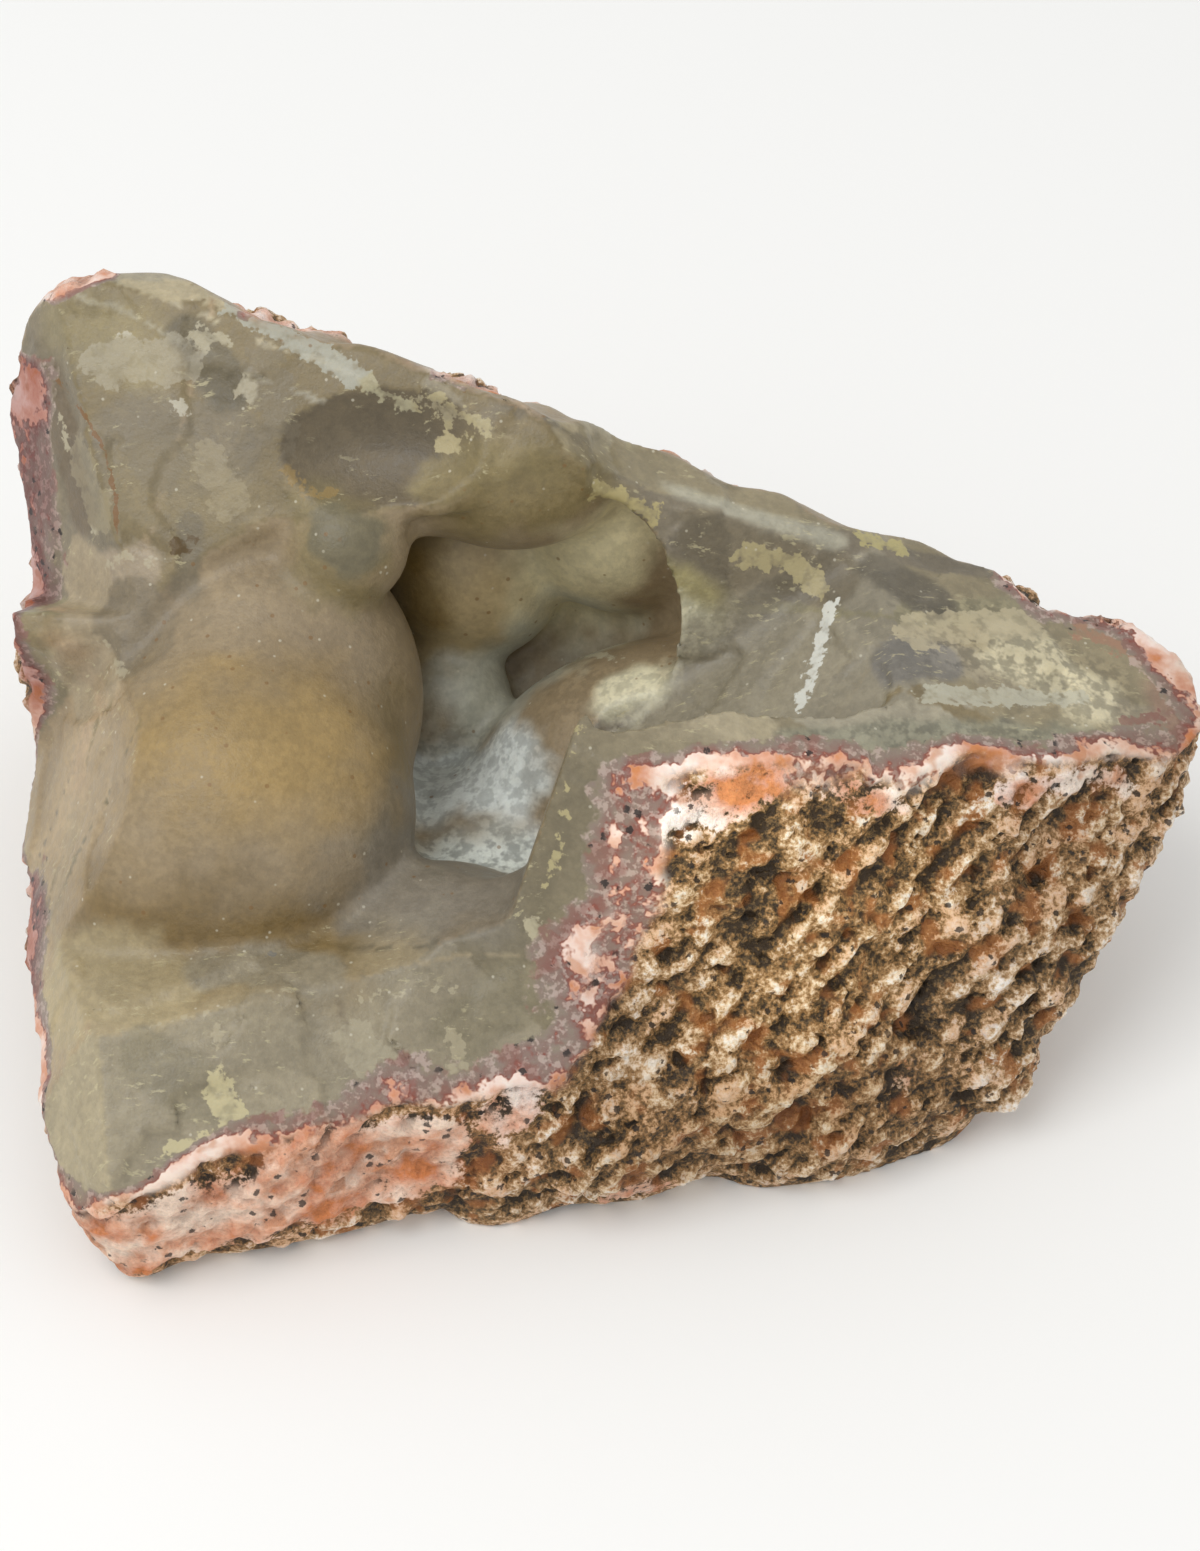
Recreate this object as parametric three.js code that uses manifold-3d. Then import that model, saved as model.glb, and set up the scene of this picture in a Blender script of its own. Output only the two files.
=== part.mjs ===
// A broken piece of a chalcedony nodule: a rough crusty rind outside, smooth rounded
// chalcedony in the hollow, clean shell-like breaks between the two. One solid, mm, +Z up.
import * as THREE from "three";
import { mergeVertices } from "three/addons/utils/BufferGeometryUtils.js";
import Module from "manifold-3d";

const wasm = await Module();
wasm.setup();
const V = (x, y, z) => new THREE.Vector3(x, y, z);

// ---- driving dimensions, mm and degrees ----
const RIND_DETAIL = 12;         // subdivisions of the ball the rind is drawn out of
const RIND_EDGE = 1.6;          // softness of the nodule's edges
const RIND_LUMP = 1.3;          // height of the crust's lumps
const ROW_LENGTH = 7;           // the lumps' spacing along their slanting rows
const ROW_WIDTH = 4.6;          // and across them
const ROW_ALONG = V(0.667, 0.556, 0.495);
const ROW_ACROSS = V(-0.681, 0.182, 0.710);
const ROW_THROUGH = V(0.304, -0.811, 0.500);
const HEART = V(0, -2, 22);     // every rind point is found by looking outwards from here
const BREAK_RIPPLE = 0.35;      // height of the ripples on a broken face
const BREAK_CELL = 5;           // spacing of the points on a broken face
const OPENING_STRETCH = 5;      // a bowl keeps its width upwards, so it opens to the top

// the nodule's faces: a point on the face and the way the face looks
const RIND_FACES = {
  left:         [V(-46.1, -5, 20), V(-1, 0.03, -0.08)],
  leftShoulder: [V(-47.7, 18.9, 45.5), V(-0.76, 0.11, 0.64)],
  leftCorner:   [V(-42.8, -28.5, 15), V(-0.95, -0.20, -0.24)],
  leftFoot:     [V(-44.5, 0, 5.4), V(-0.79, 0.07, -0.61)],
  frontLeft:    [V(-22, -32.9, 6), V(0.15, -0.97, 0.16)],
  frontFoot:    [V(-21.8, -33.5, 1.1), V(0.10, -0.80, -0.59)],
  front:        [V(4.1, -16.1, 35.6), V(0.33, -0.82, 0.46)],
  frontLow:     [V(18, -28.5, 8), V(0.15, -0.92, -0.36)],
  rightLow:     [V(35.2, -20.1, 9.9), V(0.75, -0.42, -0.51)],
  rightMiddle:  [V(44.8, -8.3, 20.4), V(0.92, -0.28, -0.28)],
  rightTip:     [V(49.9, -2, 30), V(0.97, 0.13, 0.16)],
  rightFoot:    [V(34, 7, 12), V(0.60, 0.50, -0.62)],
  backRight:    [V(39.5, 10.9, 33.4), V(0.58, 0.74, 0.33)],
  backTop:      [V(18.8, 12.6, 38.1), V(0.35, 0.66, 0.66)],
  back:         [V(9.9, 22.6, 31.9), V(0.33, 0.80, 0.50)],
  backLeft:     [V(-28, 32, 38), V(-0.05, 0.98, 0.06)],
  backFoot:     [V(0, 28, 8), V(0.10, 0.80, -0.60)],
  top:          [V(-34, 26, 54.5), V(0.15, 0.05, 0.98)],
  topMiddle:    [V(-5, 17, 47.3), V(0.27, 0.40, 0.87)],
  under:        [V(0, 0, -2), V(0, 0, -1)],
};

// broad swellings and dents of the crust: centre, reach, height
const RIND_SWELLS = [
  [V(1, -22, 23), 11, -3.2],
  [V(-16, -29, 15), 9, -1.7],
  [V(-34, -34, 10), 6, 1.0],
  [V(-46, -8, 22), 8, 1.5],
];

// the hollow: centre and half sizes
const FRONT_BOWL = [V(-20, -11, 37), V(25, 21, 17)];
const MAIN_BOWL = [V(-4, 1, 36), V(11, 10.8, 22)];
const CAVES = [
  [V(-9, 3, 25), V(11, 15, 12.5)],
  [V(-4, 11, 27), V(11.5, 9.5, 14)],
  [V(-10, 12, 26), V(14, 12, 14)],
];
const BLOCK_SIDE = [V(-1.8, -10.8, 37), V(-0.93, 0.20, 0.244)];

// rounded growths in the hollow: centre, half sizes, yaw, tilt, roll
const GROWTHS = {
  egg:       [V(-28.3, -4, 20.8), V(13.8, 14.5, 11.8), 0, 0, 45],
  shoulder:  [V(-26.5, 6, 23.7), V(12.3, 14, 10.5), 0, 0, 45],
  eggFoot:   [V(-35, -6.5, 18), V(9.5, 12, 9.5), 0, 0, 45],
  bubble:    [V(-19.8, 10.2, 36.3), V(4.8, 4.8, 4.2), 0, 0, 45],
  arch:      [V(-11, 15.5, 39), V(10, 3.4, 3.4), 18, -16, 0],
  roofLobe:  [V(-7, 16.5, 39), V(9, 6.5, 6.5), 0, 0, 0],
  backLobe:  [V(-11, 22, 25), V(8.5, 8, 9.5), 0, 0, 0],
  rightLobe: [V(2, 22, 31), V(9.5, 8, 10), 0, 0, 0],
  lowLobe:   [V(-13, 15, 15), V(5.5, 5.5, 5.5), 0, 0, 0],
  floorLobe: [V(-8, 1, 6.5), V(11, 12, 10), 0, 0, 0],
  stepLobe:  [V(-12.5, -13.5, 12.7), V(10.5, 9, 8.5), 0, 0, 0],
  dome:      [V(7, 7, 10.5), V(18.5, 12.5, 15.5), 0, -8, 0],
};

// broken faces: a point on the face and the way the bared face looks
const UPPER_BREAK = [V(-28, 8, 37.5), V(-0.096, -0.70, 0.71)];
const LEDGE = [V(-30.4, -24.1, 20), V(-0.10, 0.12, 0.98)];
const FRONT_BREAK = [V(-30.4, -24.1, 20), V(0.085, -0.59, 0.80)];
const BLOCK_FACE = [V(4, -15.2, 35), V(-0.25, -0.82, 0.51)];
const BLOCK_TOP = [V(-1.8, -10.8, 37), V(0.10, -0.30, 0.95)];
const RIGHT_SLOPE = [V(27.3, -4.5, 33), V(0.14, -0.27, 0.95)];
const DOME_FACE = [V(14.6, 9.4, 31), V(-0.45, -0.14, 0.88)];
const BACK_FACET = [V(12, 11, 36), V(0.10, -0.88, 0.45)];
const HOLLOW_BREAKS = [
  [UPPER_BREAK, [V(-2, -8, 40), V(-0.35, 0.90, 0.20)], [V(0, -5, 30), V(0, 0.50, 1)]],
  [LEDGE, [V(-34, -8, 18), V(0, -1, 0)], [V(-12, -25, 19), V(-1, 0, 0)]],
];
const BREAKS = [
  [DOME_FACE, BACK_FACET, [V(12, -8, 35), V(-0.25, 0.97, 0)], [V(-1, 0, 36), V(1, 0, 0)]],
  [[V(-39.8, 15.5, 43.2), V(-0.70, -0.60, 0.37)], [V(-44, 6, 33), V(0, 0.55, 0.83)]],
  [[V(-34, 26, 50.9), V(0.13, 0.05, 0.99)]],
  [[V(-35.6, -9.2, 29.4), V(-0.83, -0.21, 0.52)], [V(-38, 4.5, 27), V(0, -1, 0)]],
  [FRONT_BREAK, BLOCK_FACE, [V(-30, -19, 20), V(0.35, -0.94, 0)]],
  [[V(-36.5, -29, 17.5), V(-0.72, -0.48, 0.50)], [V(-38, -20, 20), V(0, -0.90, 0.30)]],
  [BLOCK_TOP, RIGHT_SLOPE, [V(4, 0, 36), V(0.70, -0.70, 0)]],
  [RIGHT_SLOPE, [V(20, 0, 36), V(1, 0, 0)]],
  [[V(6.5, 12.3, 38.7), V(0.24, -0.08, 0.97)], [V(-3.2, 14, 45.2), V(0.65, -0.05, 0.75)]],
];
const SCARS = [
  [V(-18.8, 4.3, 52.5), V(16.3, 9.8, 14), 0, 0, 45],
];

// ---- shapes ----
const hash = (i, j, k) => {
  const h = Math.sin(i * 12.9898 + j * 78.233 + k * 37.719) * 43758.5453;
  return h - Math.floor(h);
};
const ease = (t) => t * t * (3 - 2 * t);

// smooth random heights between 0 and 1, a new one every whole step
function noise(x, y, z) {
  const [i, j, k] = [x, y, z].map(Math.floor);
  const [u, v, w] = [ease(x - i), ease(y - j), ease(z - k)];
  let sum = 0;
  for (const [a, s] of [[0, 1 - u], [1, u]])
    for (const [b, t] of [[0, 1 - v], [1, v]])
      for (const [c, r] of [[0, 1 - w], [1, w]]) sum += s * t * r * hash(i + a, j + b, k + c);
  return sum;
}

// the crust's lumps run in slanting rows
function lumps(p) {
  const along = p.dot(ROW_ALONG) / ROW_LENGTH, across = p.dot(ROW_ACROSS) / ROW_WIDTH;
  const through = p.dot(ROW_THROUGH) / ROW_WIDTH;
  return 2 * noise(along + 20, across + 20, through + 20) - 1;
}

function rindDistance(p) {
  const reach = Object.values(RIND_FACES).map(([point, look]) =>
    p.clone().sub(point).dot(look) / look.length());
  const most = Math.max(...reach);
  const sum = reach.reduce((total, d) => total + Math.exp((d - most) / RIND_EDGE), 0);
  const swell = RIND_SWELLS.reduce((total, [centre, size, height]) =>
    total + height * Math.exp(-p.distanceToSquared(centre) / (size * size)), 0);
  return most + RIND_EDGE * Math.log(sum) - RIND_LUMP * lumps(p) - swell;
}

function rindPoint(direction) {
  let near = 5, far = 90;
  for (let i = 0; i < 24; i++) {
    const middle = (near + far) / 2;
    const p = HEART.clone().addScaledVector(direction, middle);
    if (rindDistance(p) < 0) near = middle; else far = middle;
  }
  return HEART.clone().addScaledVector(direction, near);
}

function reshape(geometry, move) {
  const at = geometry.attributes.position;
  for (let i = 0; i < at.count; i++) {
    const p = move(V(at.getX(i), at.getY(i), at.getZ(i)));
    at.setXYZ(i, p.x, p.y, p.z);
  }
  return geometry;
}

function solid(geometry) {
  geometry.deleteAttribute("normal");
  geometry.deleteAttribute("uv");
  const merged = mergeVertices(geometry, 1e-4);
  const mesh = new wasm.Mesh({
    numProp: 3,
    vertProperties: new Float32Array(merged.attributes.position.array),
    triVerts: new Uint32Array(merged.index.array),
  });
  return new wasm.Manifold(mesh);
}

const nodule = () => solid(reshape(new THREE.IcosahedronGeometry(1, RIND_DETAIL),
  (p) => rindPoint(p.normalize())));

function ball([centre, half, yaw = 0, tilt = 0, roll = 0], detail = 5) {
  const [x, y, z] = [roll, tilt, yaw].map((angle) => angle * Math.PI / 180);
  const turn = new THREE.Euler(x, y, z, "ZYX");
  return solid(reshape(new THREE.IcosahedronGeometry(1, detail),
    (p) => p.multiply(half).applyEuler(turn).add(centre)));
}

function bowl([centre, half], detail = 8) {
  return solid(reshape(new THREE.IcosahedronGeometry(1, detail), (p) => {
    p.multiply(half);
    if (p.z > 0) p.z *= OPENING_STRETCH;
    return p.add(centre);
  }));
}

// everything on the outer side of one face, with a rippled cutting side
function outside([point, look]) {
  const size = 120, cells = Math.round(size / BREAK_CELL);
  const turn = new THREE.Quaternion().setFromUnitVectors(V(0, 0, 1), look.clone().normalize());
  return solid(reshape(new THREE.BoxGeometry(size, size, size, cells, cells, 1), (p) => {
    const ripple = p.z < 0 ? BREAK_RIPPLE * Math.sin(0.5 * p.x + 1.2 * Math.sin(0.21 * p.y)) : 0;
    p.z += size / 2 + ripple;
    return p.applyQuaternion(turn).add(point);
  }));
}

// everything under Z = 0, so the stone sits flat
const ground = () => solid(new THREE.BoxGeometry(140, 140, 40).translate(0, 0, -20));

const chip = (faces) => faces.map(outside).reduce((a, b) => a.intersect(b));
const join = (solids) => solids.reduce((a, b) => a.add(b));

function stone() {
  const whole = nodule();
  const front = bowl(FRONT_BOWL).intersect(outside(BLOCK_SIDE));
  const caves = CAVES.map((c) => ball(c));
  const hollow = join([front, bowl(MAIN_BOWL), ...caves, ...HOLLOW_BREAKS.map(chip)]);
  const growths = join(Object.values(GROWTHS).map((g) => ball(g)));
  const cuts = join([...BREAKS.map(chip), ...SCARS.map((s) => ball(s)), ground()]);
  return whole.subtract(hollow).add(growths.intersect(whole)).subtract(cuts);
}

function meshOf(name, manifold, material) {
  const { vertProperties, triVerts } = manifold.getMesh();
  const geometry = new THREE.BufferGeometry();
  geometry.setAttribute("position", new THREE.BufferAttribute(vertProperties, 3));
  geometry.setIndex(new THREE.BufferAttribute(triVerts, 1));
  geometry.computeVertexNormals();
  const mesh = new THREE.Mesh(geometry, material);
  mesh.name = name;
  return mesh;
}

const group = new THREE.Group();
group.add(meshOf("chalcedony", stone(),
  new THREE.MeshStandardMaterial({ color: 0xb3a68a, roughness: 0.45, metalness: 0 })));
export default group;
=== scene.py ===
"""A broken piece of a chalcedony nodule: rough crust outside, rounded growths in an open
hollow, clean shell-like breaks between the two. Shapes are worked out in millimetres."""

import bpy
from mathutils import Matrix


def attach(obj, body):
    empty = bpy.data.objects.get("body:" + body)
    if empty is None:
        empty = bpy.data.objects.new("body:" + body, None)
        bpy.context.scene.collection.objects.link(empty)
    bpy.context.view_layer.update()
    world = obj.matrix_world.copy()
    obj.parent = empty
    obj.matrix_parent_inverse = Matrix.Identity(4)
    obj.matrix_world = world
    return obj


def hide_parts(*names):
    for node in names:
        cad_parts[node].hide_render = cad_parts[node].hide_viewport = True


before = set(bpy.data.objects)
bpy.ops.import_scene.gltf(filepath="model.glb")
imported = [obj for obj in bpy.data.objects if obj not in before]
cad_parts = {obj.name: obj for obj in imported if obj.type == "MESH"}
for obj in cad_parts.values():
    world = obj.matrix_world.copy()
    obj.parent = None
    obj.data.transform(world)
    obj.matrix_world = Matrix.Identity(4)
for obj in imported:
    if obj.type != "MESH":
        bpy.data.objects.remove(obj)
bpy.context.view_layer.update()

import math

import bpy
import numpy as np
from bpy.props import FloatProperty, FloatVectorProperty, IntProperty, PointerProperty
from mathutils import Matrix, Vector

bl_info = {
    "name": "Rough chalcedony",
    "version": (1, 0, 0),
    "blender": (4, 5, 0),
    "location": "View3D > Sidebar > Stone",
    "description": "Builds a broken chalcedony nodule with its crust, hollow and growths",
    "category": "Add Mesh",
}

NODE = "chalcedony"
BODY = "root"
MM = 0.001

CAMERA_HEIGHT = 45.0     # degrees above the floor
CAMERA_AWAY = 240.0      # mm from the point it looks at
CAMERA_LENS = 70.0       # mm
CAMERA_TARGET = (0, 0, 21)
CAMERA_SENSOR = 36       # mm
FLOOR_HALF = 3.0         # metres
KEY_PLACE = (-0.22, -0.16, 0.50)
KEY_SIZE = 0.35
KEY_AIM = (0, 0, 0.02)

# ---- the stone's main shapes, mm: the solid's own named values ----
RIND_EDGE = 1.6
RIND_FACES = {
    "left": [(-46.1, -5, 20), (-1, 0.03, -0.08)],
    "left shoulder": [(-47.7, 18.9, 45.5), (-0.76, 0.11, 0.64)],
    "left corner": [(-42.8, -28.5, 15), (-0.95, -0.20, -0.24)],
    "left foot": [(-44.5, 0, 5.4), (-0.79, 0.07, -0.61)],
    "front left": [(-22, -32.9, 6), (0.15, -0.97, 0.16)],
    "front foot": [(-21.8, -33.5, 1.1), (0.10, -0.80, -0.59)],
    "front": [(4.1, -16.1, 35.6), (0.33, -0.82, 0.46)],
    "front low": [(18, -28.5, 8), (0.15, -0.92, -0.36)],
    "right low": [(35.2, -20.1, 9.9), (0.75, -0.42, -0.51)],
    "right middle": [(44.8, -8.3, 20.4), (0.92, -0.28, -0.28)],
    "right tip": [(49.9, -2, 30), (0.97, 0.13, 0.16)],
    "right foot": [(34, 7, 12), (0.60, 0.50, -0.62)],
    "back right": [(39.5, 10.9, 33.4), (0.58, 0.74, 0.33)],
    "back top": [(18.8, 12.6, 38.1), (0.35, 0.66, 0.66)],
    "back": [(9.9, 22.6, 31.9), (0.33, 0.80, 0.50)],
    "back left": [(-28, 32, 38), (-0.05, 0.98, 0.06)],
    "back foot": [(0, 28, 8), (0.10, 0.80, -0.60)],
    "top": [(-34, 26, 54.5), (0.15, 0.05, 0.98)],
    "top middle": [(-5, 17, 47.3), (0.27, 0.40, 0.87)],
    "under": [(0, 0, -2), (0, 0, -1)],
}
RIND_SWELLS = [
    [(1, -22, 23), 11, -3.2],
    [(-16, -29, 15), 9, -1.7],
    [(-34, -34, 10), 6, 1.0],
    [(-46, -8, 22), 8, 1.5],
]
ROW_ALONG = (0.667, 0.556, 0.495)
ROW_ACROSS = (-0.681, 0.182, 0.710)
ROW_THROUGH = (0.304, -0.811, 0.500)

OPENING_STRETCH = 5
FRONT_BOWL = [(-20, -11, 37), (25, 21, 17)]
MAIN_BOWL = [(-4, 1, 36), (11, 10.8, 22)]
CAVES = [
    [(-9, 3, 25), (11, 15, 12.5)],
    [(-4, 11, 27), (11.5, 9.5, 14)],
    [(-10, 12, 26), (14, 12, 14)],
]
BLOCK_SIDE = [(-1.8, -10.8, 37), (-0.93, 0.20, 0.244)]

GROWTHS = {
    "egg": [(-28.3, -4, 20.8), (13.8, 14.5, 11.8), 0, 0, 45],
    "shoulder": [(-26.5, 6, 23.7), (12.3, 14, 10.5), 0, 0, 45],
    "egg foot": [(-35, -6.5, 18), (9.5, 12, 9.5), 0, 0, 45],
    "bubble": [(-19.8, 10.2, 36.3), (4.8, 4.8, 4.2), 0, 0, 45],
    "arch": [(-11, 15.5, 39), (10, 3.4, 3.4), 18, -16, 0],
    "roof lobe": [(-7, 16.5, 39), (9, 6.5, 6.5), 0, 0, 0],
    "back lobe": [(-11, 22, 25), (8.5, 8, 9.5), 0, 0, 0],
    "right lobe": [(2, 22, 31), (9.5, 8, 10), 0, 0, 0],
    "low lobe": [(-13, 15, 15), (5.5, 5.5, 5.5), 0, 0, 0],
    "floor lobe": [(-8, 1, 6.5), (11, 12, 10), 0, 0, 0],
    "step lobe": [(-12.5, -13.5, 12.7), (10.5, 9, 8.5), 0, 0, 0],
    "dome": [(7, 7, 10.5), (18.5, 12.5, 15.5), 0, -8, 0],
}

UPPER_BREAK = [(-28, 8, 37.5), (-0.096, -0.70, 0.71)]
LEDGE = [(-30.4, -24.1, 20), (-0.10, 0.12, 0.98)]
FRONT_BREAK = [(-30.4, -24.1, 20), (0.085, -0.59, 0.80)]
BLOCK_FACE = [(4, -15.2, 35), (-0.25, -0.82, 0.51)]
BLOCK_TOP = [(-1.8, -10.8, 37), (0.10, -0.30, 0.95)]
RIGHT_SLOPE = [(27.3, -4.5, 33), (0.14, -0.27, 0.95)]
DOME_FACE = [(14.6, 9.4, 31), (-0.45, -0.14, 0.88)]
BACK_FACET = [(12, 11, 36), (0.10, -0.88, 0.45)]
HOLLOW_BREAKS = [
    [UPPER_BREAK, [(-2, -8, 40), (-0.35, 0.90, 0.20)], [(0, -5, 30), (0, 0.50, 1)]],
    [LEDGE, [(-34, -8, 18), (0, -1, 0)], [(-12, -25, 19), (-1, 0, 0)]],
]
BREAKS = [
    [DOME_FACE, BACK_FACET, [(12, -8, 35), (-0.25, 0.97, 0)], [(-1, 0, 36), (1, 0, 0)]],
    [[(-39.8, 15.5, 43.2), (-0.70, -0.60, 0.37)], [(-44, 6, 33), (0, 0.55, 0.83)]],
    [[(-34, 26, 50.9), (0.13, 0.05, 0.99)]],
    [[(-35.6, -9.2, 29.4), (-0.83, -0.21, 0.52)], [(-38, 4.5, 27), (0, -1, 0)]],
    [FRONT_BREAK, BLOCK_FACE, [(-30, -19, 20), (0.35, -0.94, 0)]],
    [[(-36.5, -29, 17.5), (-0.72, -0.48, 0.50)], [(-38, -20, 20), (0, -0.90, 0.30)]],
    [BLOCK_TOP, RIGHT_SLOPE, [(4, 0, 36), (0.70, -0.70, 0)]],
    [RIGHT_SLOPE, [(20, 0, 36), (1, 0, 0)]],
    [[(6.5, 12.3, 38.7), (0.24, -0.08, 0.97)], [(-3.2, 14, 45.2), (0.65, -0.05, 0.75)]],
]
SCARS = [
    [(-18.8, 4.3, 52.5), (16.3, 9.8, 14), 0, 0, 45],
]

# ---- colour marks, mm ----
# soft washes: colour, strength, reach, softness, places
WASHES = [
    # upper left face
    ["#72644f", 0.9, 1.7, 0.35, [(-43.4, 20.3, 44.2), (-42.1, 17, 41.4), (-40.7, 12.8, 37.2)]],
    ["#978b66", 0.6, 3.0, 2.0, [(-41, 23, 48.5), (-36, 21, 47)]],
    ["#7b7260", 0.6, 3.0, 0.6, [(-35.8, 15.4, 43.7), (-32.7, 12.9, 41.7), (-28.7, 14.3, 43.6)]],
    ["#635b47", 0.8, 1.8, 0.4, [(-31.5, 20.3, 49.1), (-28.7, 17, 46.3)]],
    ["#918362", 0.6, 3.0, 2.0, [(-36.6, 11.5, 39.8), (-30.3, 11.1, 40.2)]],
    ["#9a8d67", 0.6, 1.6, 1.0, [(-35.2, 18.2, 46.3)]],
    # left edge under it
    ["#a0917a", 0.9, 1.6, 0.3, [(-40.3, 9.4, 34.1), (-35.4, 8.2, 36)]],
    ["#a19277", 0.9, 3.2, 0.3, [(-42, 10.5, 33.4), (-39, 5.5, 31), (-40, 3, 28.2)]],
    ["#7e725c", 0.95, 2.7, 0.2, [(-37, 6.5, 33.6), (-35.6, 3, 32.4)]],
    ["#786e58", 0.85, 1.0, 0.2, [(-31.9, 9.7, 38.6), (-32.2, 6.5, 35)]],
    ["#ab9475", 0.8, 1.4, 1.0, [(-42.3, 7.2, 32.2), (-39.5, 1.3, 28), (-41, -4.4, 22.7)]],
    ["#9a8a6e", 0.7, 1.5, 1.0, [(-41, -4.4, 22.7), (-41.9, -11.2, 18.6), (-42.2, -13.2, 17.3)]],
    ["#6e6553", 0.6, 1.4, 1.0, [(-31.9, 5.9, 34.4)]],
    # big rounded growth; its darker underside and right-hand edge are painted shade
    ["#928166", 0.7, 4.5, 3.0, [(-30.6, -0.3, 33.8), (-23.1, 1.3, 33.4)]],
    ["#9c8046", 0.7, 6.0, 4.0, [(-30, -7, 32.3), (-22, -7, 31.5)]],
    # painted shade: darker olive browns on the growth's underside and its right-hand edge, this line and
    # the next
    ["#735c2c", 0.8, 4.5, 4.0, [(-37, -16, 21), (-30, -17.5, 20), (-21, -16.5, 20)]],
    ["#7d6d49", 0.7, 2.2, 2.5, [(-15.5, 2, 28), (-15.5, -9, 24)]],
    # scar and bubble
    ["#82755b", 0.7, 2.0, 1.5, [(-8.2, 13.4, 45.5), (-5.4, 11.9, 44.5)]],
    ["#786c45", 0.7, 4.4, 1.5, [(-20.3, 9, 37.5)]],
    ["#6b644d", 0.9, 3.1, 0.4, [(-19.6, 7.3, 39.8)]],
    # hollow
    ["#9a8c65", 0.7, 1.6, 1.2, [(-13.5, 11.3, 41), (-9.2, 11.1, 42.9), (-5, 11, 44)]],
    ["#776941", 0.8, 4.0, 2.0, [(-9.3, 11, 40), (-2.3, 12.5, 41.5)]],
    ["#af9c73", 0.9, 5.5, 2.5, [(-11, 16, 28), (-12.4, 15.5, 22)]],
    ["#dad0a8", 0.9, 5.5, 2.5, [(0, 15.5, 33), (-3.3, 18.6, 24)]],
    ["#a9a798", 0.8, 2.6, 1.5, [(-12.8, 11.7, 19)]],
    ["#7a622f", 0.9, 2.4, 2.2, [(-15.5, 16, 32), (-15, 15.5, 24)]],
    ["#ada271", 0.8, 1.6, 1.0, [(6.8, 9.2, 33.8), (8.6, 8.8, 31.6)]],
    # floor of the hollow
    ["#7e786c", 0.8, 7.0, 3.0, [(-15.3, -11, 19), (-7.6, -12, 21)]],
    ["#d6dcd8", 0.9, 3.4, 1.6, [(-13.9, 3.4, 14.8), (-12.5, 8.3, 13.5), (-7, 3, 18)]],
    ["#cad1cb", 0.8, 2.6, 2.0, [(-12, -3.8, 15.8), (-6, -4, 15.8)]],
    # dome
    ["#b9bbad", 0.8, 4.5, 2.5, [(-8.3, 12.6, 17.3), (-2.5, 15, 20.2)]],
    ["#d9d4b6", 0.8, 2.4, 0.7, [(1.6, 4.7, 25.5), (7.1, 7.3, 30.4)]],
    ["#8d8571", 0.8, 5.0, 1.5, [(10.5, 5, 28.8), (16, 0, 29.5)]],
    # back rim
    ["#736954", 0.9, 2.4, 0.5, [(7.8, 11.5, 37), (12, 10.5, 35), (18.9, 9, 33.5)]],
    ["#a8a491", 0.8, 0.8, 0.4, [(3.9, 14.5, 40.8), (7.9, 13.2, 38.6), (18.9, 11.6, 35.6)]],
    # right slope
    ["#645d4e", 0.9, 1.7, 0.4, [(21.3, 9.6, 34.5), (26.2, 7.1, 33.4)]],
    ["#747069", 0.85, 1.9, 0.3, [(22.6, 0, 33.3), (26.6, 0.6, 32.7)]],
    ["#bfb698", 0.7, 3.0, 0.8, [(31.9, 3.2, 31.7), (37.9, -0.6, 29.9)]],
    ["#7f7d6a", 0.8, 1.4, 0.5, [(14.8, -9.9, 34.8), (26.4, -6.9, 32.2), (37.5, -4.8, 29.6)]],
    ["#8f6f5e", 0.75, 1.9, 1.0, [(44.4, -1.6, 28.4), (45.4, 2, 28)]],
    # block
    ["#aa9e83", 0.7, 2.5, 1.0, [(0, -11.5, 36.7), (8.8, -11.5, 35.7)]],
    ["#7d735b", 0.9, 6.0, 2.0, [(1.5, -15, 35), (0, -18.5, 28)]],
    # ledge and front
    ["#a59674", 0.9, 4.5, 1.2, [(-40.2, -19, 18.1), (-34, -20.5, 19)]],
    ["#8c836e", 0.85, 2.2, 0.6, [(-29, -18.9, 19.3), (-21, -20, 20.5)]],
    ["#857c64", 0.85, 2.3, 0.35, [(-33.3, -26.8, 18), (-28.8, -29.1, 16.2)]],
    ["#918770", 0.7, 3.0, 1.5, [(-25.2, -25.3, 18.6), (-21.5, -28.1, 16.1)]],
    ["#837a61", 0.8, 2.6, 0.5, [(-10, -24, 18.6), (-6.7, -21.8, 20)]],
]

# where the face is blotchy: strength, reach, softness, places
BLOTCHES = [
    [0.45, 4.5, 2.0, [(-13.9, 3.4, 14.8), (-12.5, 8.3, 13.5), (-7, 3, 18)]],
    [0.8, 3.0, 2.0, [(-12, -3.8, 15.8), (-6, -4, 15.8)]],
    [0.35, 3.2, 1.5, [(-3, 12, 20), (1.6, 4.7, 25.5), (7.1, 7.3, 30.4)]],
    [0.8, 4.0, 2.0, [(27, 4, 32.5), (31.9, 3.2, 31.7), (38, 0, 30)]],
    [0.6, 1.6, 1.0, [(14.8, -9.9, 34.8), (26.4, -6.9, 32.2), (37.5, -4.8, 29.6)]],
]

SCAR_TONE = "#665a44"
ROUGH_SLOPE = [(10, 12, 37), (24, 6, 33), (36, 2, 31)]

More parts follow.
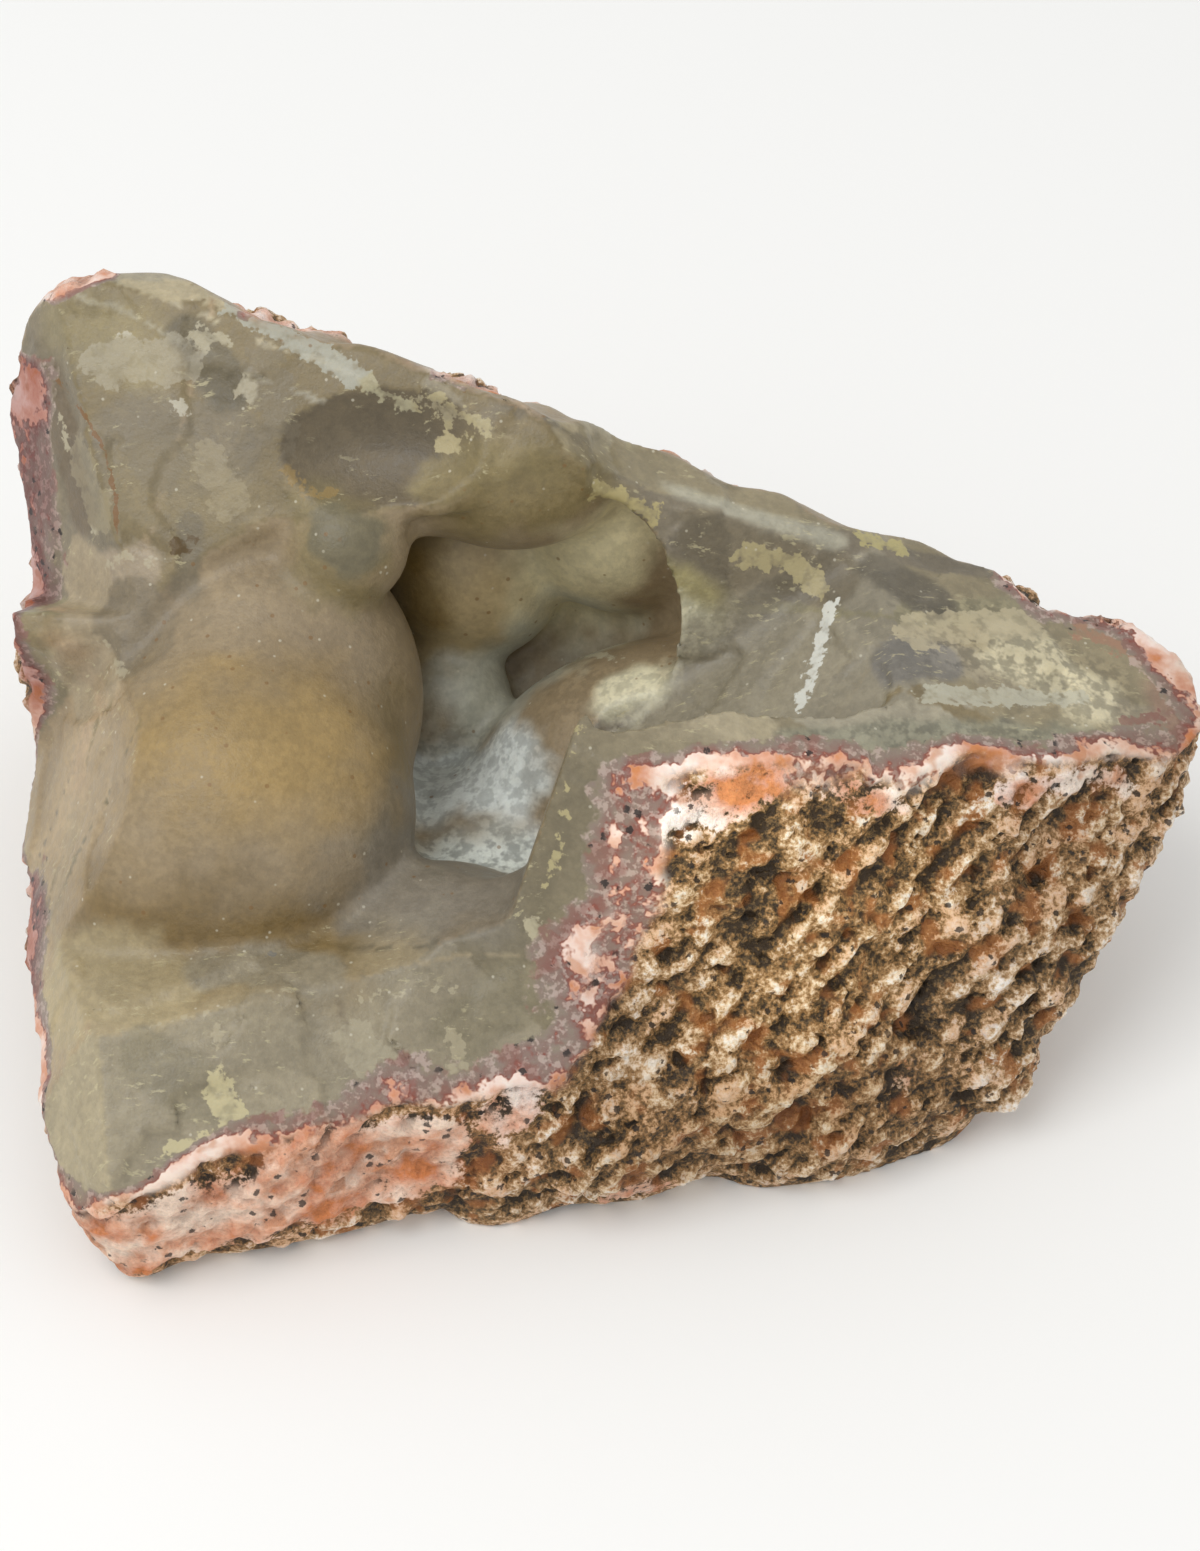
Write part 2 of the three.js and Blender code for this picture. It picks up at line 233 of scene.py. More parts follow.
# the flat breaks: plane, colour
FACE_TONES = [
    [UPPER_BREAK, "#7f7152"],
    [LEDGE, "#a19273"],
    [FRONT_BREAK, "#90866f"],
    [BLOCK_FACE, "#7c7259"],
    [BLOCK_TOP, "#a99d80"],
    [RIGHT_SLOPE, "#9d9580"],
    [DOME_FACE, "#8f8773"],
    [BACK_FACET, "#766d5b"],
    [BREAKS[1][0], "#7d735f"],
    [BREAKS[1][1], "#8c8468"],
    [BREAKS[3][0], "#9f8c6e"],
    [BREAKS[5][0], "#a09478"],
]

# pieces of skin and chips with ragged edges, and a few painted glints, painted highlights and a painted
# shadow: colour, strength, reach, places
FLAKES_AND_PAINTED_LIGHT = [
    ["#c9bd96", 0.7, 1.0, [(-45, 19.5, 49), (-43.6, 20.5, 49.8)]],
    ["#aea691", 0.5, 1.7, [(-38.6, 19.3, 47.2), (-32.7, 19.1, 47.8)]],
    ["#796f5a", 0.5, 2.0, [(-35.3, 15.2, 43.6), (-34.2, 13, 41.6)]],
    ["#a89c7e", 0.38, 1.5, [(-30.5, 13.5, 43.5), (-29, 10.5, 40.5)]],
    ["#7a715e", 0.5, 1.6, [(-26, 19, 48), (-25, 16, 45)]],
    ["#a59a7c", 0.38, 1.6, [(-40.5, 15, 41), (-39.4, 12, 38.4)]],
    ["#b9b095", 0.7, 0.35, [(-42.8, 17.8, 42.8), (-41, 14, 39.4), (-39.8, 11.4, 37)]],
    ["#b5ac92", 0.6, 0.3, [(-38.9, 9.3, 34.8), (-36.9, 8.6, 36.4), (-34.6, 7.9, 36.4)]],
    ["#b1a78c", 0.6, 0.35, [(-38.6, 4.2, 31.4), (-37, 1.6, 30.4)]],
    ["#c4beab", 0.7, 0.3, [(-33, 16.5, 45.6), (-32.2, 15.7, 45)]],
    ["#c4beab", 0.7, 0.3, [(-38.2, 20.6, 47.9), (-36.8, 20.9, 48.4)]],
    ["#6f6552", 0.5, 0.4, [(-23.6, 15, 44.6), (-24.4, 12.8, 42.6)]],
    ["#5e4a2a", 0.9, 0.7, [(-43.3, 20.5, 50), (-41.9, 19.7, 48.6)]],
    ["#b3aa8f", 0.8, 0.9, [(-31, 20.4, 48.9), (-29.2, 20.2, 48.6)]],
    ["#aaa189", 0.9, 1.1, [(-27.1, 17, 46.5)]],
    # partly painted highlight: a pale grey band along the upper crest, partly the crest's own pale
    # colour, this line and the next
    ["#b0b0a2", 0.75, 0.9, [(-28.3, 21.7, 50.4), (-23.2, 19.1, 49.1), (-18.8, 17.1, 47.7)]],
    ["#b3ac8c", 0.75, 0.6, [(-18.8, 17.1, 47.7), (-14.9, 15.6, 45.7)]],
    ["#b9ad84", 0.7, 0.4, [(-13.1, 15.6, 47), (-8.5, 13.2, 45.4)]],
    ["#b9ad84", 0.6, 0.3, [(-15.5, 15.9, 46.2), (-10, 13, 44.6)]],
    ["#5a4622", 0.95, 0.55, [(-33, 8.6, 37.6), (-31.7, 9, 37.9)]],
    ["#b8ab82", 0.8, 0.7, [(-12.4, 13.6, 44.2), (-9.3, 13.2, 43.4)]],
    ["#aba182", 0.6, 0.5, [(-13.5, 15.2, 46.6), (-10.2, 14.4, 45.6)]],
    ["#937a46", 0.7, 0.45, [(-24.2, 12.4, 42.4), (-22.6, 11, 41.4), (-20.6, 11, 41.4)]],
    ["#b9ab77", 0.8, 0.9, [(0, 11.8, 40.6), (3.9, 11.3, 38.5)]],
    ["#b5a87c", 0.8, 0.9, [(11.4, 10.5, 35.1), (15, 10.4, 34.5), (17.8, 9, 32.7)]],
    ["#b3a872", 0.8, 0.8, [(21, 12.2, 35.1), (23.8, 11.9, 34.4)]],
    ["#b5a98a", 0.75, 1.6, [(24.5, 3, 33.4), (28.1, 4.6, 32.8), (33, 6, 31.6)]],
    ["#bab7a3", 0.75, 0.8, [(25, -3.4, 32.7), (31, -1.6, 31.4), (37.1, -0.8, 30)]],
    ["#dcdcd2", 0.9, 0.5, [(18.4, 7.4, 32.6), (16.7, 2.7, 31), (15.3, -0.8, 29.9)]],
    ["#c4b88c", 0.7, 0.7, [(2.2, 5.5, 26.4), (5, 6.6, 29.4)]],
    ["#bdb9a0", 0.7, 0.5, [(-2.5, 14.6, 20), (2, 9, 26), (6.4, 8.8, 30.6)]],
    ["#b9b093", 0.8, 0.75, [(-4.8, -19.1, 24.4), (-2.1, -22.1, 21)]],
    ["#b5a97c", 0.8, 0.4, [(-1.6, -11.4, 36.8), (-2.9, -16.4, 29.6), (-4.4, -18.2, 27)]],
    ["#aaa188", 0.55, 1.6, [(-18.4, -25.2, 18.3), (-16, -27, 16.6)]],
    # painted highlight: a thin pale line along the ledge's crest, this line and the next
    ["#b9af92", 0.5, 0.1, [(-33.5, -25, 19.6), (-27.5, -23, 20.2), (-23.2, -22, 20.5)]],
    ["#b9af92", 0.5, 0.05, [(-23.2, -22, 20.5), (-17.9, -22.4, 20), (-10.6, -21.5, 20)]],
    ["#c3b88f", 0.85, 1.1, [(-28.4, -28, 16.6), (-27.2, -30.3, 14.6)]],
    ["#c3b88f", 0.85, 0.8, [(-31.5, -31.9, 13.6), (-29.3, -31.6, 13.8)]],
    ["#b8ad90", 0.5, 0.45, [(-28.6, -24.6, 18.9), (-27.6, -27.2, 16.6)]],
    ["#b8ad90", 0.5, 0.5, [(-10.9, -24.4, 17.8), (-10.1, -27.5, 15.4)]],
    ["#4f4024", 0.9, 0.5, [(-27.2, -17.2, 18.4)]],
    ["#b8a194", 0.85, 1.6, [(43.2, 4.6, 28.9), (45.2, 3, 28)]],
    ["#7f5047", 0.7, 0.6, [(40.5, -2.2, 29.2), (43.2, -1.2, 28.7)]],
    ["#a2755e", 0.7, 1.0, [(38, 6.5, 30.4), (42, 5.6, 29.3)]],
    # painted glints: tiny near-white streaks on the top of the block near its front edge, this line and
    # the next
    ["#dcdccf", 0.9, 0.16, [(9.2, -11.6, 35.3), (11, -11.4, 35.1)]],
    ["#dcdccf", 0.9, 0.2, [(12.2, -12, 34.9), (13, -11.8, 34.8)]],
    # painted shadow: grey in the crease under the right-hand part of the big growth
    ["#6d6f70", 0.6, 0.6, [(-25, -17.9, 19), (-22.8, -17.8, 19.2)]],
]

# thin rusty cracks: places
CRACKS = [
    [(-43.3, 20.9, 45.2), (-41.4, 17.8, 44.8), (-40, 16.2, 44), (-38.5, 14, 42.7),
     (-37.7, 11.6, 39.8), (-37.7, 9.6, 38.2)],
    [(-40.9, 19.8, 45.2), (-37.6, 19.2, 45.9), (-36.4, 18.6, 45.4), (-35.8, 17.8, 44.9)],
    [(-35.6, 18.6, 45.8), (-34.4, 17.6, 45.1), (-34.1, 16.9, 44.4)],
]

# how thick the coloured bands under the crust are: mm, reach, softness, places
BAND_THIN = 0.5
BANDS = [
    [2.6, 4.0, 2.0, [(2, -15, 35), (-3, -21, 25), (-8, -24.5, 14)]],
    [1.5, 4.0, 2.0, [(2, -15, 35), (15, -12, 34.8), (38, -7, 29)]],
    [3.0, 5.0, 2.0, [(-8, -24.5, 14), (-25, -31, 10), (-39, -33, 5)]],
    [2.4, 4.0, 2.0, [(-45, 20, 45), (-45, 10, 37), (-45, 4, 28), (-44, -8, 20), (-44, -22, 12)]],
    [5.0, 4.5, 1.5, [(-46.5, 21.5, 41), (-46, 17, 34), (-45.5, 13, 31)]],
    [2.2, 4.0, 2.0, [(28, 10, 33.5), (38, 8, 30), (45, 4, 27)]],
    [3.5, 3.0, 2.0, [(45, 4, 28), (46, -1, 28), (42, -4, 28)]],
    [1.6, 2.5, 2.0, [(-14, 19, 47.5), (-6, 17.5, 46)]],
    [1.4, 2.0, 1.5, [(-40, 27, 50), (-36, 27, 51)]],
    [1.6, 2.0, 1.5, [(-30, 25, 50.5), (-25, 23, 49.5)]],
]

# where the crust is worn off and the grey shows: strength, reach, softness, places
WORN = [
    [1.0, 3.6, 1.2, [(-34, 26, 50), (-31, 25, 50)]],
    [1.0, 3.6, 1.2, [(-24, 23, 49.5), (-16, 20, 48)]],
    [1.0, 4.0, 1.2, [(-7, 18, 46), (4, 15.5, 42), (20, 14, 36.5), (27, 12.5, 34.5)]],
    [0.9, 3.0, 1.2, [(-46.5, 26, 46), (-46, 22, 48)]],
]

# smooth pink crust: strength, reach, softness, places
BLUSHES = [
    [1.0, 4.5, 2.5, [(-40, -34, 5), (-25, -33, 8), (-14, -29.5, 10)]],
    [0.9, 3.0, 2.5, [(-8, -26, 12), (-3, -22, 22), (3, -17, 32)]],
    [0.9, 2.4, 2.0, [(3, -17, 33), (12, -14, 34)]],
    [0.7, 1.2, 1.2, [(12, -14, 34), (26, -12, 30), (40, -6, 27)]],
    [0.8, 3.5, 2.0, [(30, 11, 33), (38, 9, 30), (46, 5, 27)]],
    [0.8, 3.5, 2.5, [(-46, 20, 46), (-46, 8, 36), (-47, 4, 28), (-47, -8, 18), (-45, -22, 10)]],
    [0.9, 5.0, 2.0, [(-46, 27, 48), (-20, 22, 49), (0, 16, 43), (20, 14, 36), (28, 12, 34)]],
    [0.8, 3.0, 2.0, [(27, -24, 14), (23, -26, 10)]],
    [0.7, 2.5, 2.0, [(2, -29, 3), (8, -30, 3)]],
]

# how much lighter or darker the crust is in places: red, green and blue factors, reach, softness, places
TINTS = [
    [(1.34, 1.32, 1.20), 8.0, 6.0, [(9, -17, 28), (22, -16, 26), (14, -19, 20)]],
    [(1.18, 1.22, 1.30), 2.6, 2.0, [(6, -15, 33.5), (12, -14, 32.6)]],
    [(0.80, 0.73, 0.60), 6.0, 5.0, [(4, -27, 9), (22, -24, 9)]],
    [(0.88, 0.84, 0.77), 5.0, 3.0, [(36, -10, 22), (39, -7, 27)]],
    [(0.97, 0.85, 0.74), 6.0, 3.0, [(-38, -34, 6), (-12, -29, 10)]],
    [(0.58, 0.42, 0.42), 5.0, 2.0, [(-46, 22, 42), (-46, 15, 34), (-46, 5, 30), (-45, -12, 16)]],
    [(0.80, 0.70, 0.62), 3.0, 2.0, [(44, -2, 27), (46, 4, 26)]],
]

# where the dark bands reach out onto the crust: strength, reach, softness, places
BRUISES = [
    [1.0, 1.9, 0.8, [(3.2, -15, 34), (3, -17.4, 30), (2.4, -19.2, 26)]],
    [1.0, 1.7, 0.8, [(2.4, -19.2, 26), (0.8, -20.9, 21.5), (-1.6, -23.4, 18.6), (-4, -25, 16)]],
    [0.8, 1.0, 0.8, [(14, -12.6, 33.6), (24, -10, 32), (34, -6.5, 30)]],
]


# how the marks wander and how far they reach, mm unless said otherwise
DRIFT_SIZE = 3.5
DRIFT_SHIFTS = (0, 17.3, 31.7)
DRIFT_REACH = 4.0
SWELL_SIZE = 3.0
SWELL_SHIFT = 61.3
FACE_REACH = 0.9         # a flat break's tone reaches this far from its plane
BLOTCH_LEAST = 0.12      # the share of blotching everywhere
CRACK_REACH = 1.5
FLAKE_NONE = -3.0
FIELD_SHIFT = 200        # keeps the scattered seeds' cubes above zero
LOBE_SIZE = 9.0          # spacing of the coloured bands' lobes
DEPTH_MOST = 20
CLOUD_SIZES = (5.0, 2.6, 1.6)    # wide, middle and narrow

# small tones that the settings don't hold
RUST_SPOT = "#7d5a2c"
PALE_DUST = "#d6d0bb"
PEACH_SKIN = "#dfb39c"
WHITE_SKIN = "#f2e4da"
ORANGE_STAIN = "#c07a45"
BAND_BROWN = "#8a7a6d"
BAND_GREY = "#897d69"
PALE_BLOT = "#c9b4a9"
BAND_DOT = "#1b1310"
RUST_STAIN = "#a2622a"
PEACH_KNOB = "#dcb08c"
GREY_KNOB = "#cfc5bc"
CRUST_DOT = "#1f1710"


def linear(code):
    """A colour written #rrggbb as the linear values Blender keeps."""
    values = [int(code[i:i + 2], 16) / 255 for i in (1, 3, 5)]
    return [v / 12.92 if v <= 0.04045 else ((v + 0.055) / 1.055) ** 2.4 for v in values]


# ---- signed distances: below zero is stone ----
BLOCK_BLEND = 1.0
BOWL_BLEND = 1.5
GROWTH_BLEND = 2.0
CHIP_BLEND = 0.5
MOUTH_BLEND = 1.0
FOOT_BLEND = 1.5
GROWTH_MARGIN = 0.3
BREAK_EDGE = 0.6


def unit(vector):
    v = np.asarray(vector, float)
    return v / np.linalg.norm(v)


def plane(points, at, look):
    return (points - np.asarray(at, np.float32)) @ unit(look).astype(np.float32)


def ellipsoid(points, centre, half, yaw=0, tilt=0, roll=0):
    turned = Matrix.Identity(3)
    for angle, axis in ((yaw, "Z"), (tilt, "Y"), (roll, "X")):
        turned = turned @ Matrix.Rotation(math.radians(angle), 3, axis)
    turned = np.array(turned, np.float32)
    q = (points - np.asarray(centre, np.float32)) @ turned
    r = np.asarray(half, np.float32)
    near = np.linalg.norm(q / r, axis=-1)
    slope = np.linalg.norm(q / (r * r), axis=-1)
    return near * (near - 1) / np.maximum(slope, 1e-6)


def blend_min(a, b, width):
    h = np.maximum(width - np.abs(a - b), 0) / width
    return np.minimum(a, b) - h * h * width * 0.25


def blend_max(a, b, width):
    return -blend_min(-a, -b, width)


def soft_max(distances, width):
    most = np.max(distances, axis=0)
    total = sum(np.exp((d - most) / width) for d in distances)
    return most + width * np.log(total)


def hashed(i, j, k):
    h = np.sin(i * 12.9898 + j * 78.233 + k * 37.719) * 43758.5453
    return h - np.floor(h)


def noise(x, y, z):
    """Smooth random heights between 0 and 1, a new one every whole step."""
    i, j, k = np.floor(x), np.floor(y), np.floor(z)
    u, v, w = x - i, y - j, z - k
    u, v, w = u * u * (3 - 2 * u), v * v * (3 - 2 * v), w * w * (3 - 2 * w)
    total = 0
    for a, s in ((0, 1 - u), (1, u)):
        for b, t in ((0, 1 - v), (1, v)):
            for c, r in ((0, 1 - w), (1, w)):
                total = total + s * t * r * hashed(i + a, j + b, k + c)
    return total


def clouds(points, size, shift=0.0):
    """Noise of three sizes added up, between 0 and 1."""
    p = points.astype(float).T / size + shift
    return (noise(*p) + 0.5 * noise(*(p * 2.1)) + 0.25 * noise(*(p * 4.3))) / 1.75


def rows(points, sizes):
    """The crust's lumps, between -1 and 1, running in slanting rows."""
    p = points.astype(float)
    along, across, through = (p @ np.array(v) for v in (ROW_ALONG, ROW_ACROSS, ROW_THROUGH))
    width = sizes.row_width
    return 2 * noise(along / sizes.row_length + 20, across / width + 20, through / width + 20) - 1


def nodule(points, sizes):
    skin = soft_max([plane(points, *face) for face in RIND_FACES.values()], RIND_EDGE)
    for centre, reach, height in RIND_SWELLS:
        away = ((points - np.asarray(centre, np.float32)) ** 2).sum(-1)
        skin = skin - height * np.exp(-away / reach ** 2)
    return skin - sizes.lump_height * rows(points, sizes)


def bowl(points, centre, half):
    stretched = points.copy()
    z = points[..., 2]
    stretched[..., 2] = np.where(z > centre[2], centre[2] + (z - centre[2]) / OPENING_STRETCH, z)
    return ellipsoid(stretched, centre, half)


def nearest_chip(points, size):
    """Seeds scattered one to a cube of the given size: the nearest one's cube and offset."""
    scaled = points / size
    corner = np.floor(scaled)
    best = np.full(len(points), 1e6)
    chosen = np.zeros_like(scaled)
    offset = np.zeros_like(scaled)
    for step in np.ndindex(3, 3, 3):
        cube = corner + np.array(step, np.float32) - 1
        seed = np.stack([hashed(*(cube.T + s)) for s in (1.0, 37.0, 73.0)], -1)
        away = scaled - cube - seed
        distance = (away * away).sum(1)
        closer = distance < best
        best[closer] = distance[closer]
        chosen[closer] = cube[closer]
        offset[closer] = away[closer] * size
    return chosen, offset


def shiver(points, sizes):
    """Low flat facets and ripples of a shell-like break, and the tone of each facet."""
    p = points.astype(float).T
    bend = np.stack([noise(*(p / 6 + s)) for s in (40, 57.3, 71.7)], -1) - 0.5
    cube, offset = nearest_chip(points + bend * 6 + FIELD_SHIFT, sizes.facet_size)
    tilts = np.stack([hashed(*(cube.T + s)) for s in (5.0, 11.0, 17.0)], -1) - 0.5
    facet = hashed(*(cube.T + 23.0)) - 0.5 + 0.16 * (offset * tilts).sum(1)
    ripple = np.sin(0.5 * points[:, 0] + 1.2 * np.sin(0.21 * (points[:, 1] - points[:, 2])))
    fine = noise(*(p / 1.6 + 60)) - 0.5
    relief = sizes.step_height * facet + sizes.ripple_height * (0.6 * ripple + 0.5 * fine)
    return relief.astype(np.float32), hashed(*(cube.T + 29.0)) - 0.5


def wedge(points, faces, relief):
    return -soft_max([-plane(points, *face) - relief for face in faces], BREAK_EDGE)


def stone_distance(points, sizes):
    """Distances for points (n, 3): stone, crust, rounded inside, breaks; and the facet tone."""
    relief, tone = shiver(points, sizes)
    skin = nodule(points, sizes)
    front = blend_max(bowl(points, *FRONT_BOWL), -plane(points, *BLOCK_SIDE), BLOCK_BLEND)
    hollow = blend_min(front, bowl(points, *MAIN_BOWL), BOWL_BLEND)
    for cave in CAVES:
        hollow = blend_min(hollow, ellipsoid(points, *cave), BOWL_BLEND)
    growths = None
    for growth in GROWTHS.values():
        lump = ellipsoid(points, *growth)
        growths = lump if growths is None else blend_min(growths, lump, GROWTH_BLEND)
    opened = [wedge(points, faces, relief) for faces in HOLLOW_BREAKS]
    for broken in opened:
        hollow = blend_min(hollow, -broken, CHIP_BLEND)
    inner = blend_max(skin, -hollow, MOUTH_BLEND)
    inner = blend_min(inner, growths, FOOT_BLEND)
    inner = np.maximum(inner, skin)
    cuts = [wedge(points, faces, relief) for faces in BREAKS]
    cuts += [-ellipsoid(points, *scar) for scar in SCARS]
    broken = np.max(cuts, axis=0)
    whole = np.maximum(np.maximum(inner, broken), -points[:, 2])
    shown = [np.minimum(face, growths - GROWTH_MARGIN) for face in opened]
    bare = np.max([broken] + shown, axis=0)
    return whole, skin, inner, bare, tone


# ---- from distances to a mesh ----
GRID_LOW = (-51.0, -38.0, -2.0)
GRID_HIGH = (51.0, 38.0, 56.0)
COARSENESS = 4
POINTS_AT_ONCE = 200000


def spread(grid):
    """Repeats each coarse value over the fine points that it stands for."""
    for axis in range(3):
        grid = grid.repeat(COARSENESS, axis)
    return grid


def sample(sizes, step):
    """The distance on a grid, worked out finely only near the stone's surface."""
    low, high = np.array(GRID_LOW), np.array(GRID_HIGH)
    coarse = COARSENESS * step
    counts = np.ceil((high - low) / coarse).astype(int) + 1
    axes = [low[a] + coarse * np.arange(counts[a]) for a in range(3)]
    grid = np.stack(np.meshgrid(*axes, indexing="ij"), -1).astype(np.float32)
    rough = stone_distance(grid.reshape(-1, 3), sizes)[0].reshape(grid.shape[:3])
    values = spread(rough)
    near = spread(np.abs(rough) < coarse * 1.3 + 1.2)
    where = np.argwhere(near)
    points = (low + where * step).astype(np.float32)
    parts = np.array_split(points, len(points) // POINTS_AT_ONCE + 1)
    found = np.concatenate([stone_distance(part, sizes)[0] for part in parts])
    values[tuple(where.T)] = found
    return values, low


def surface_nets(values, low, step):
    """Puts one vertex in each cell that the surface crosses, and joins them in quads."""
    inside = values < 0
    shape = [n - 1 for n in values.shape]
    count = np.zeros(shape, np.uint8)
    total = np.zeros(shape + [3], np.float32)
    for axis in range(3):
        others = [a for a in range(3) if a != axis]
        for o1 in (0, 1):
            for o2 in (0, 1):
                first, second = [None] * 3, [None] * 3
                first[axis], second[axis] = slice(0, -1), slice(1, None)
                for a, o in zip(others, (o1, o2)):
                    first[a] = second[a] = slice(o, shape[a] + o)
                a, b = values[tuple(first)], values[tuple(second)]
                cross = (a < 0) != (b < 0)
                total[..., axis] += np.where(cross, a / np.where(cross, a - b, 1), 0)
                total[..., others[0]] += cross * o1
                total[..., others[1]] += cross * o2
                count += cross
    live = count > 0
    index = np.full(shape, -1, np.int64)
    index[live] = np.arange(live.sum())
    cells = np.argwhere(live)
    vertices = low + (cells + total[live] / count[live][:, None]) * step
    quads = []
    for axis in range(3):
        u, v = [(1, 2), (2, 0), (0, 1)][axis]
        first, second = [slice(None)] * 3, [slice(None)] * 3
        first[axis], second[axis] = slice(0, -1), slice(1, None)
        a, b = inside[tuple(first)], inside[tuple(second)]
        for crossing, order in ((a & ~b, 1), (~a & b, -1)):
            edge = np.argwhere(crossing)
            corners = []
            for du, dv in ((-1, -1), (0, -1), (0, 0), (-1, 0)):
                cell = edge.copy()
                cell[:, u] += du
                cell[:, v] += dv
                corners.append(index[tuple(cell.T)])
            quads.append(np.stack(corners[::order], 1))
    return vertices.astype(np.float32), np.concatenate(quads)


def mesh_from(name, vertices, faces):
    mesh = bpy.data.meshes.new(name)
    mesh.vertices.add(len(vertices))
    mesh.vertices.foreach_set("co", (vertices * MM).astype(np.float32).ravel())
    mesh.loops.add(faces.size)
    mesh.loops.foreach_set("vertex_index", faces.astype(np.int32).ravel())
    mesh.polygons.add(len(faces))
    starts = np.arange(0, faces.size, faces.shape[1], dtype=np.int32)
    mesh.polygons.foreach_set("loop_start", starts)
    mesh.update(calc_edges=True)
    mesh.validate()
    mesh.shade_smooth()
    return mesh


def points_of(mesh):
    co = np.empty(len(mesh.vertices) * 3, np.float32)
    mesh.vertices.foreach_get("co", co)
    return co.reshape(-1, 3) / MM


def mark(mesh, name, values):
    layer = mesh.attributes.new(name, "FLOAT", "POINT")
    layer.data.foreach_set("value", values.astype(np.float32))


def mark_colour(mesh, name, colours):
    layer = mesh.color_attributes.new(name, "FLOAT_COLOR", "POINT")
    layer.data.foreach_set("color", colours.astype(np.float32).ravel())


def new_object(name, mesh):
    piece = bpy.data.objects.new(name, mesh)
    bpy.context.scene.collection.objects.link(piece)
    return piece


# ---- where each colour lies on the surface ----
def line_distance(points, places):
    """How far each point is from a line through the places, in mm, and on which side."""
    places = [np.asarray(place, np.float32) for place in places]
    if len(places) == 1:
        return np.linalg.norm(points - places[0], axis=1), np.ones(len(points), np.float32)
    nearest = np.full(len(points), 1e6, np.float32)
    side = np.ones(len(points), np.float32)
    for a, b in zip(places, places[1:]):
        run = b - a
        share = np.clip((points - a) @ run / (run @ run), 0, 1)[:, None]
        off = points - a - share * run
        distance = np.linalg.norm(off, axis=1)
        across = np.cross(run, unit(UPPER_BREAK[1]).astype(np.float32))
        side = np.where(distance < nearest, np.sign(off @ across), side)
        nearest = np.minimum(nearest, distance)
    return nearest, side


def reached(points, reach, softness, places):
    """1 near the places, 0 away from them."""
    share = (reach + softness - line_distance(points, places)[0]) / (2 * softness)
    share = np.clip(share, 0, 1)
    return share * share * (3 - 2 * share)


def strongest(points, marks):
    """The most that any of the marks has at each point."""
    most = np.zeros(len(points))
    for strength, reach, softness, places in marks:
        most = np.maximum(most, strength * reached(points, reach, softness, places))
    return most


def tone_breaks(points, wash, whole, inner, bare):
    """Gives each flat break and the scar a tone of its own."""
    closest = np.full(len(points), FACE_REACH)
    for face, code in FACE_TONES:
        gap = np.abs(plane(points, *face))
        mine = (gap < closest) & (bare > inner - 0.1)
        wash[mine, :3] = linear(code)
        closest = np.minimum(closest, gap)
    scar = (whole < 0.15 - ellipsoid(points, *SCARS[0])) & (bare > inner)
    wash[scar, :3] = linear(SCAR_TONE)


def lay_washes(points, wandered, swell, wash):
    """Lays the soft washes over the tones; a sharp one wanders less."""
    for code, strength, reach, softness, places in WASHES:
        share = min(1.0, softness)
        drifted = (points + share * (wandered - points)).astype(np.float32)
        amount = strength * reached(drifted, reach * swell, softness, places)[:, None]
        wash[:, :3] += amount * (np.array(linear(code)) - wash[:, :3])


def mark_flakes(mesh, points, swell):
    """Writes how far inside a flake each point is, and the flake's colour and strength; a few of the
    flakes are painted glints, painted highlights and a painted shadow.
    """
    flake = np.full(len(points), FLAKE_NONE)
    paint = np.zeros((len(points), 4))
    for code, strength, reach, places in FLAKES_AND_PAINTED_LIGHT:
        margin = reach * swell - line_distance(points, places)[0]
        paint[margin > flake] = linear(code) + [strength]
        flake = np.maximum(flake, margin)
    mark(mesh, "flake", flake)
    mark_colour(mesh, "flake paint", paint)


def mark_cracks(mesh, points):
    """Writes how far the nearest crack is, and on which side of it each point lies."""
    crack = np.full(len(points), CRACK_REACH)
    beside = np.ones(len(points))
    for places in CRACKS:
        distance, side = line_distance(points, places)
        beside = np.where(distance < crack, side, beside)
        crack = np.minimum(crack, distance)
    mark(mesh, "crack", crack * beside)
    mark(mesh, "crack near", CRACK_REACH - crack)


def band_level(points, skin, worn, bruised):
    """How deep in the lobed bands each point is: about 0 at the crust, about 1 past them."""
    band = np.full(len(points), BAND_THIN)
    for thickness, reach, softness, places in BANDS:
        near = reached(points, reach, softness, places)
        band = np.maximum(band, BAND_THIN + near * (thickness - BAND_THIN))
    _, lobe = nearest_chip(points + FIELD_SHIFT, LOBE_SIZE)
    across = np.linalg.norm(lobe, axis=1)
    scallop = np.clip(1.3 * across / LOBE_SIZE - 0.6, -0.45, 0.45)
    depth = np.clip(-skin, 0, DEPTH_MOST) + 3 * worn
    return depth / band + scallop * (1 - bruised) + 0.4 * bruised * (depth < 1)


def mark_clouds(mesh, points):
    """Writes three sizes of soft clouds that the stone's colours share."""
    shades = np.ones((len(points), 4))
    for channel, size in enumerate(CLOUD_SIZES):
        shades[:, channel] = clouds(points, size, 9.1 * channel + 80)
    mark_colour(mesh, "drift", shades)


def mark_tints(mesh, wandered, level):
    """Writes how much lighter or darker the crust is, fading out through the bands."""
    tint = np.ones((len(wandered), 4))
    for factors, reach, softness, places in TINTS:
        amount = reached(wandered, reach, softness, places) * np.clip(2 - 2 * level, 0, 1)
        tint[:, :3] *= 1 + amount[:, None] * (np.array(factors) - 1)
    mark_colour(mesh, "tint", tint)


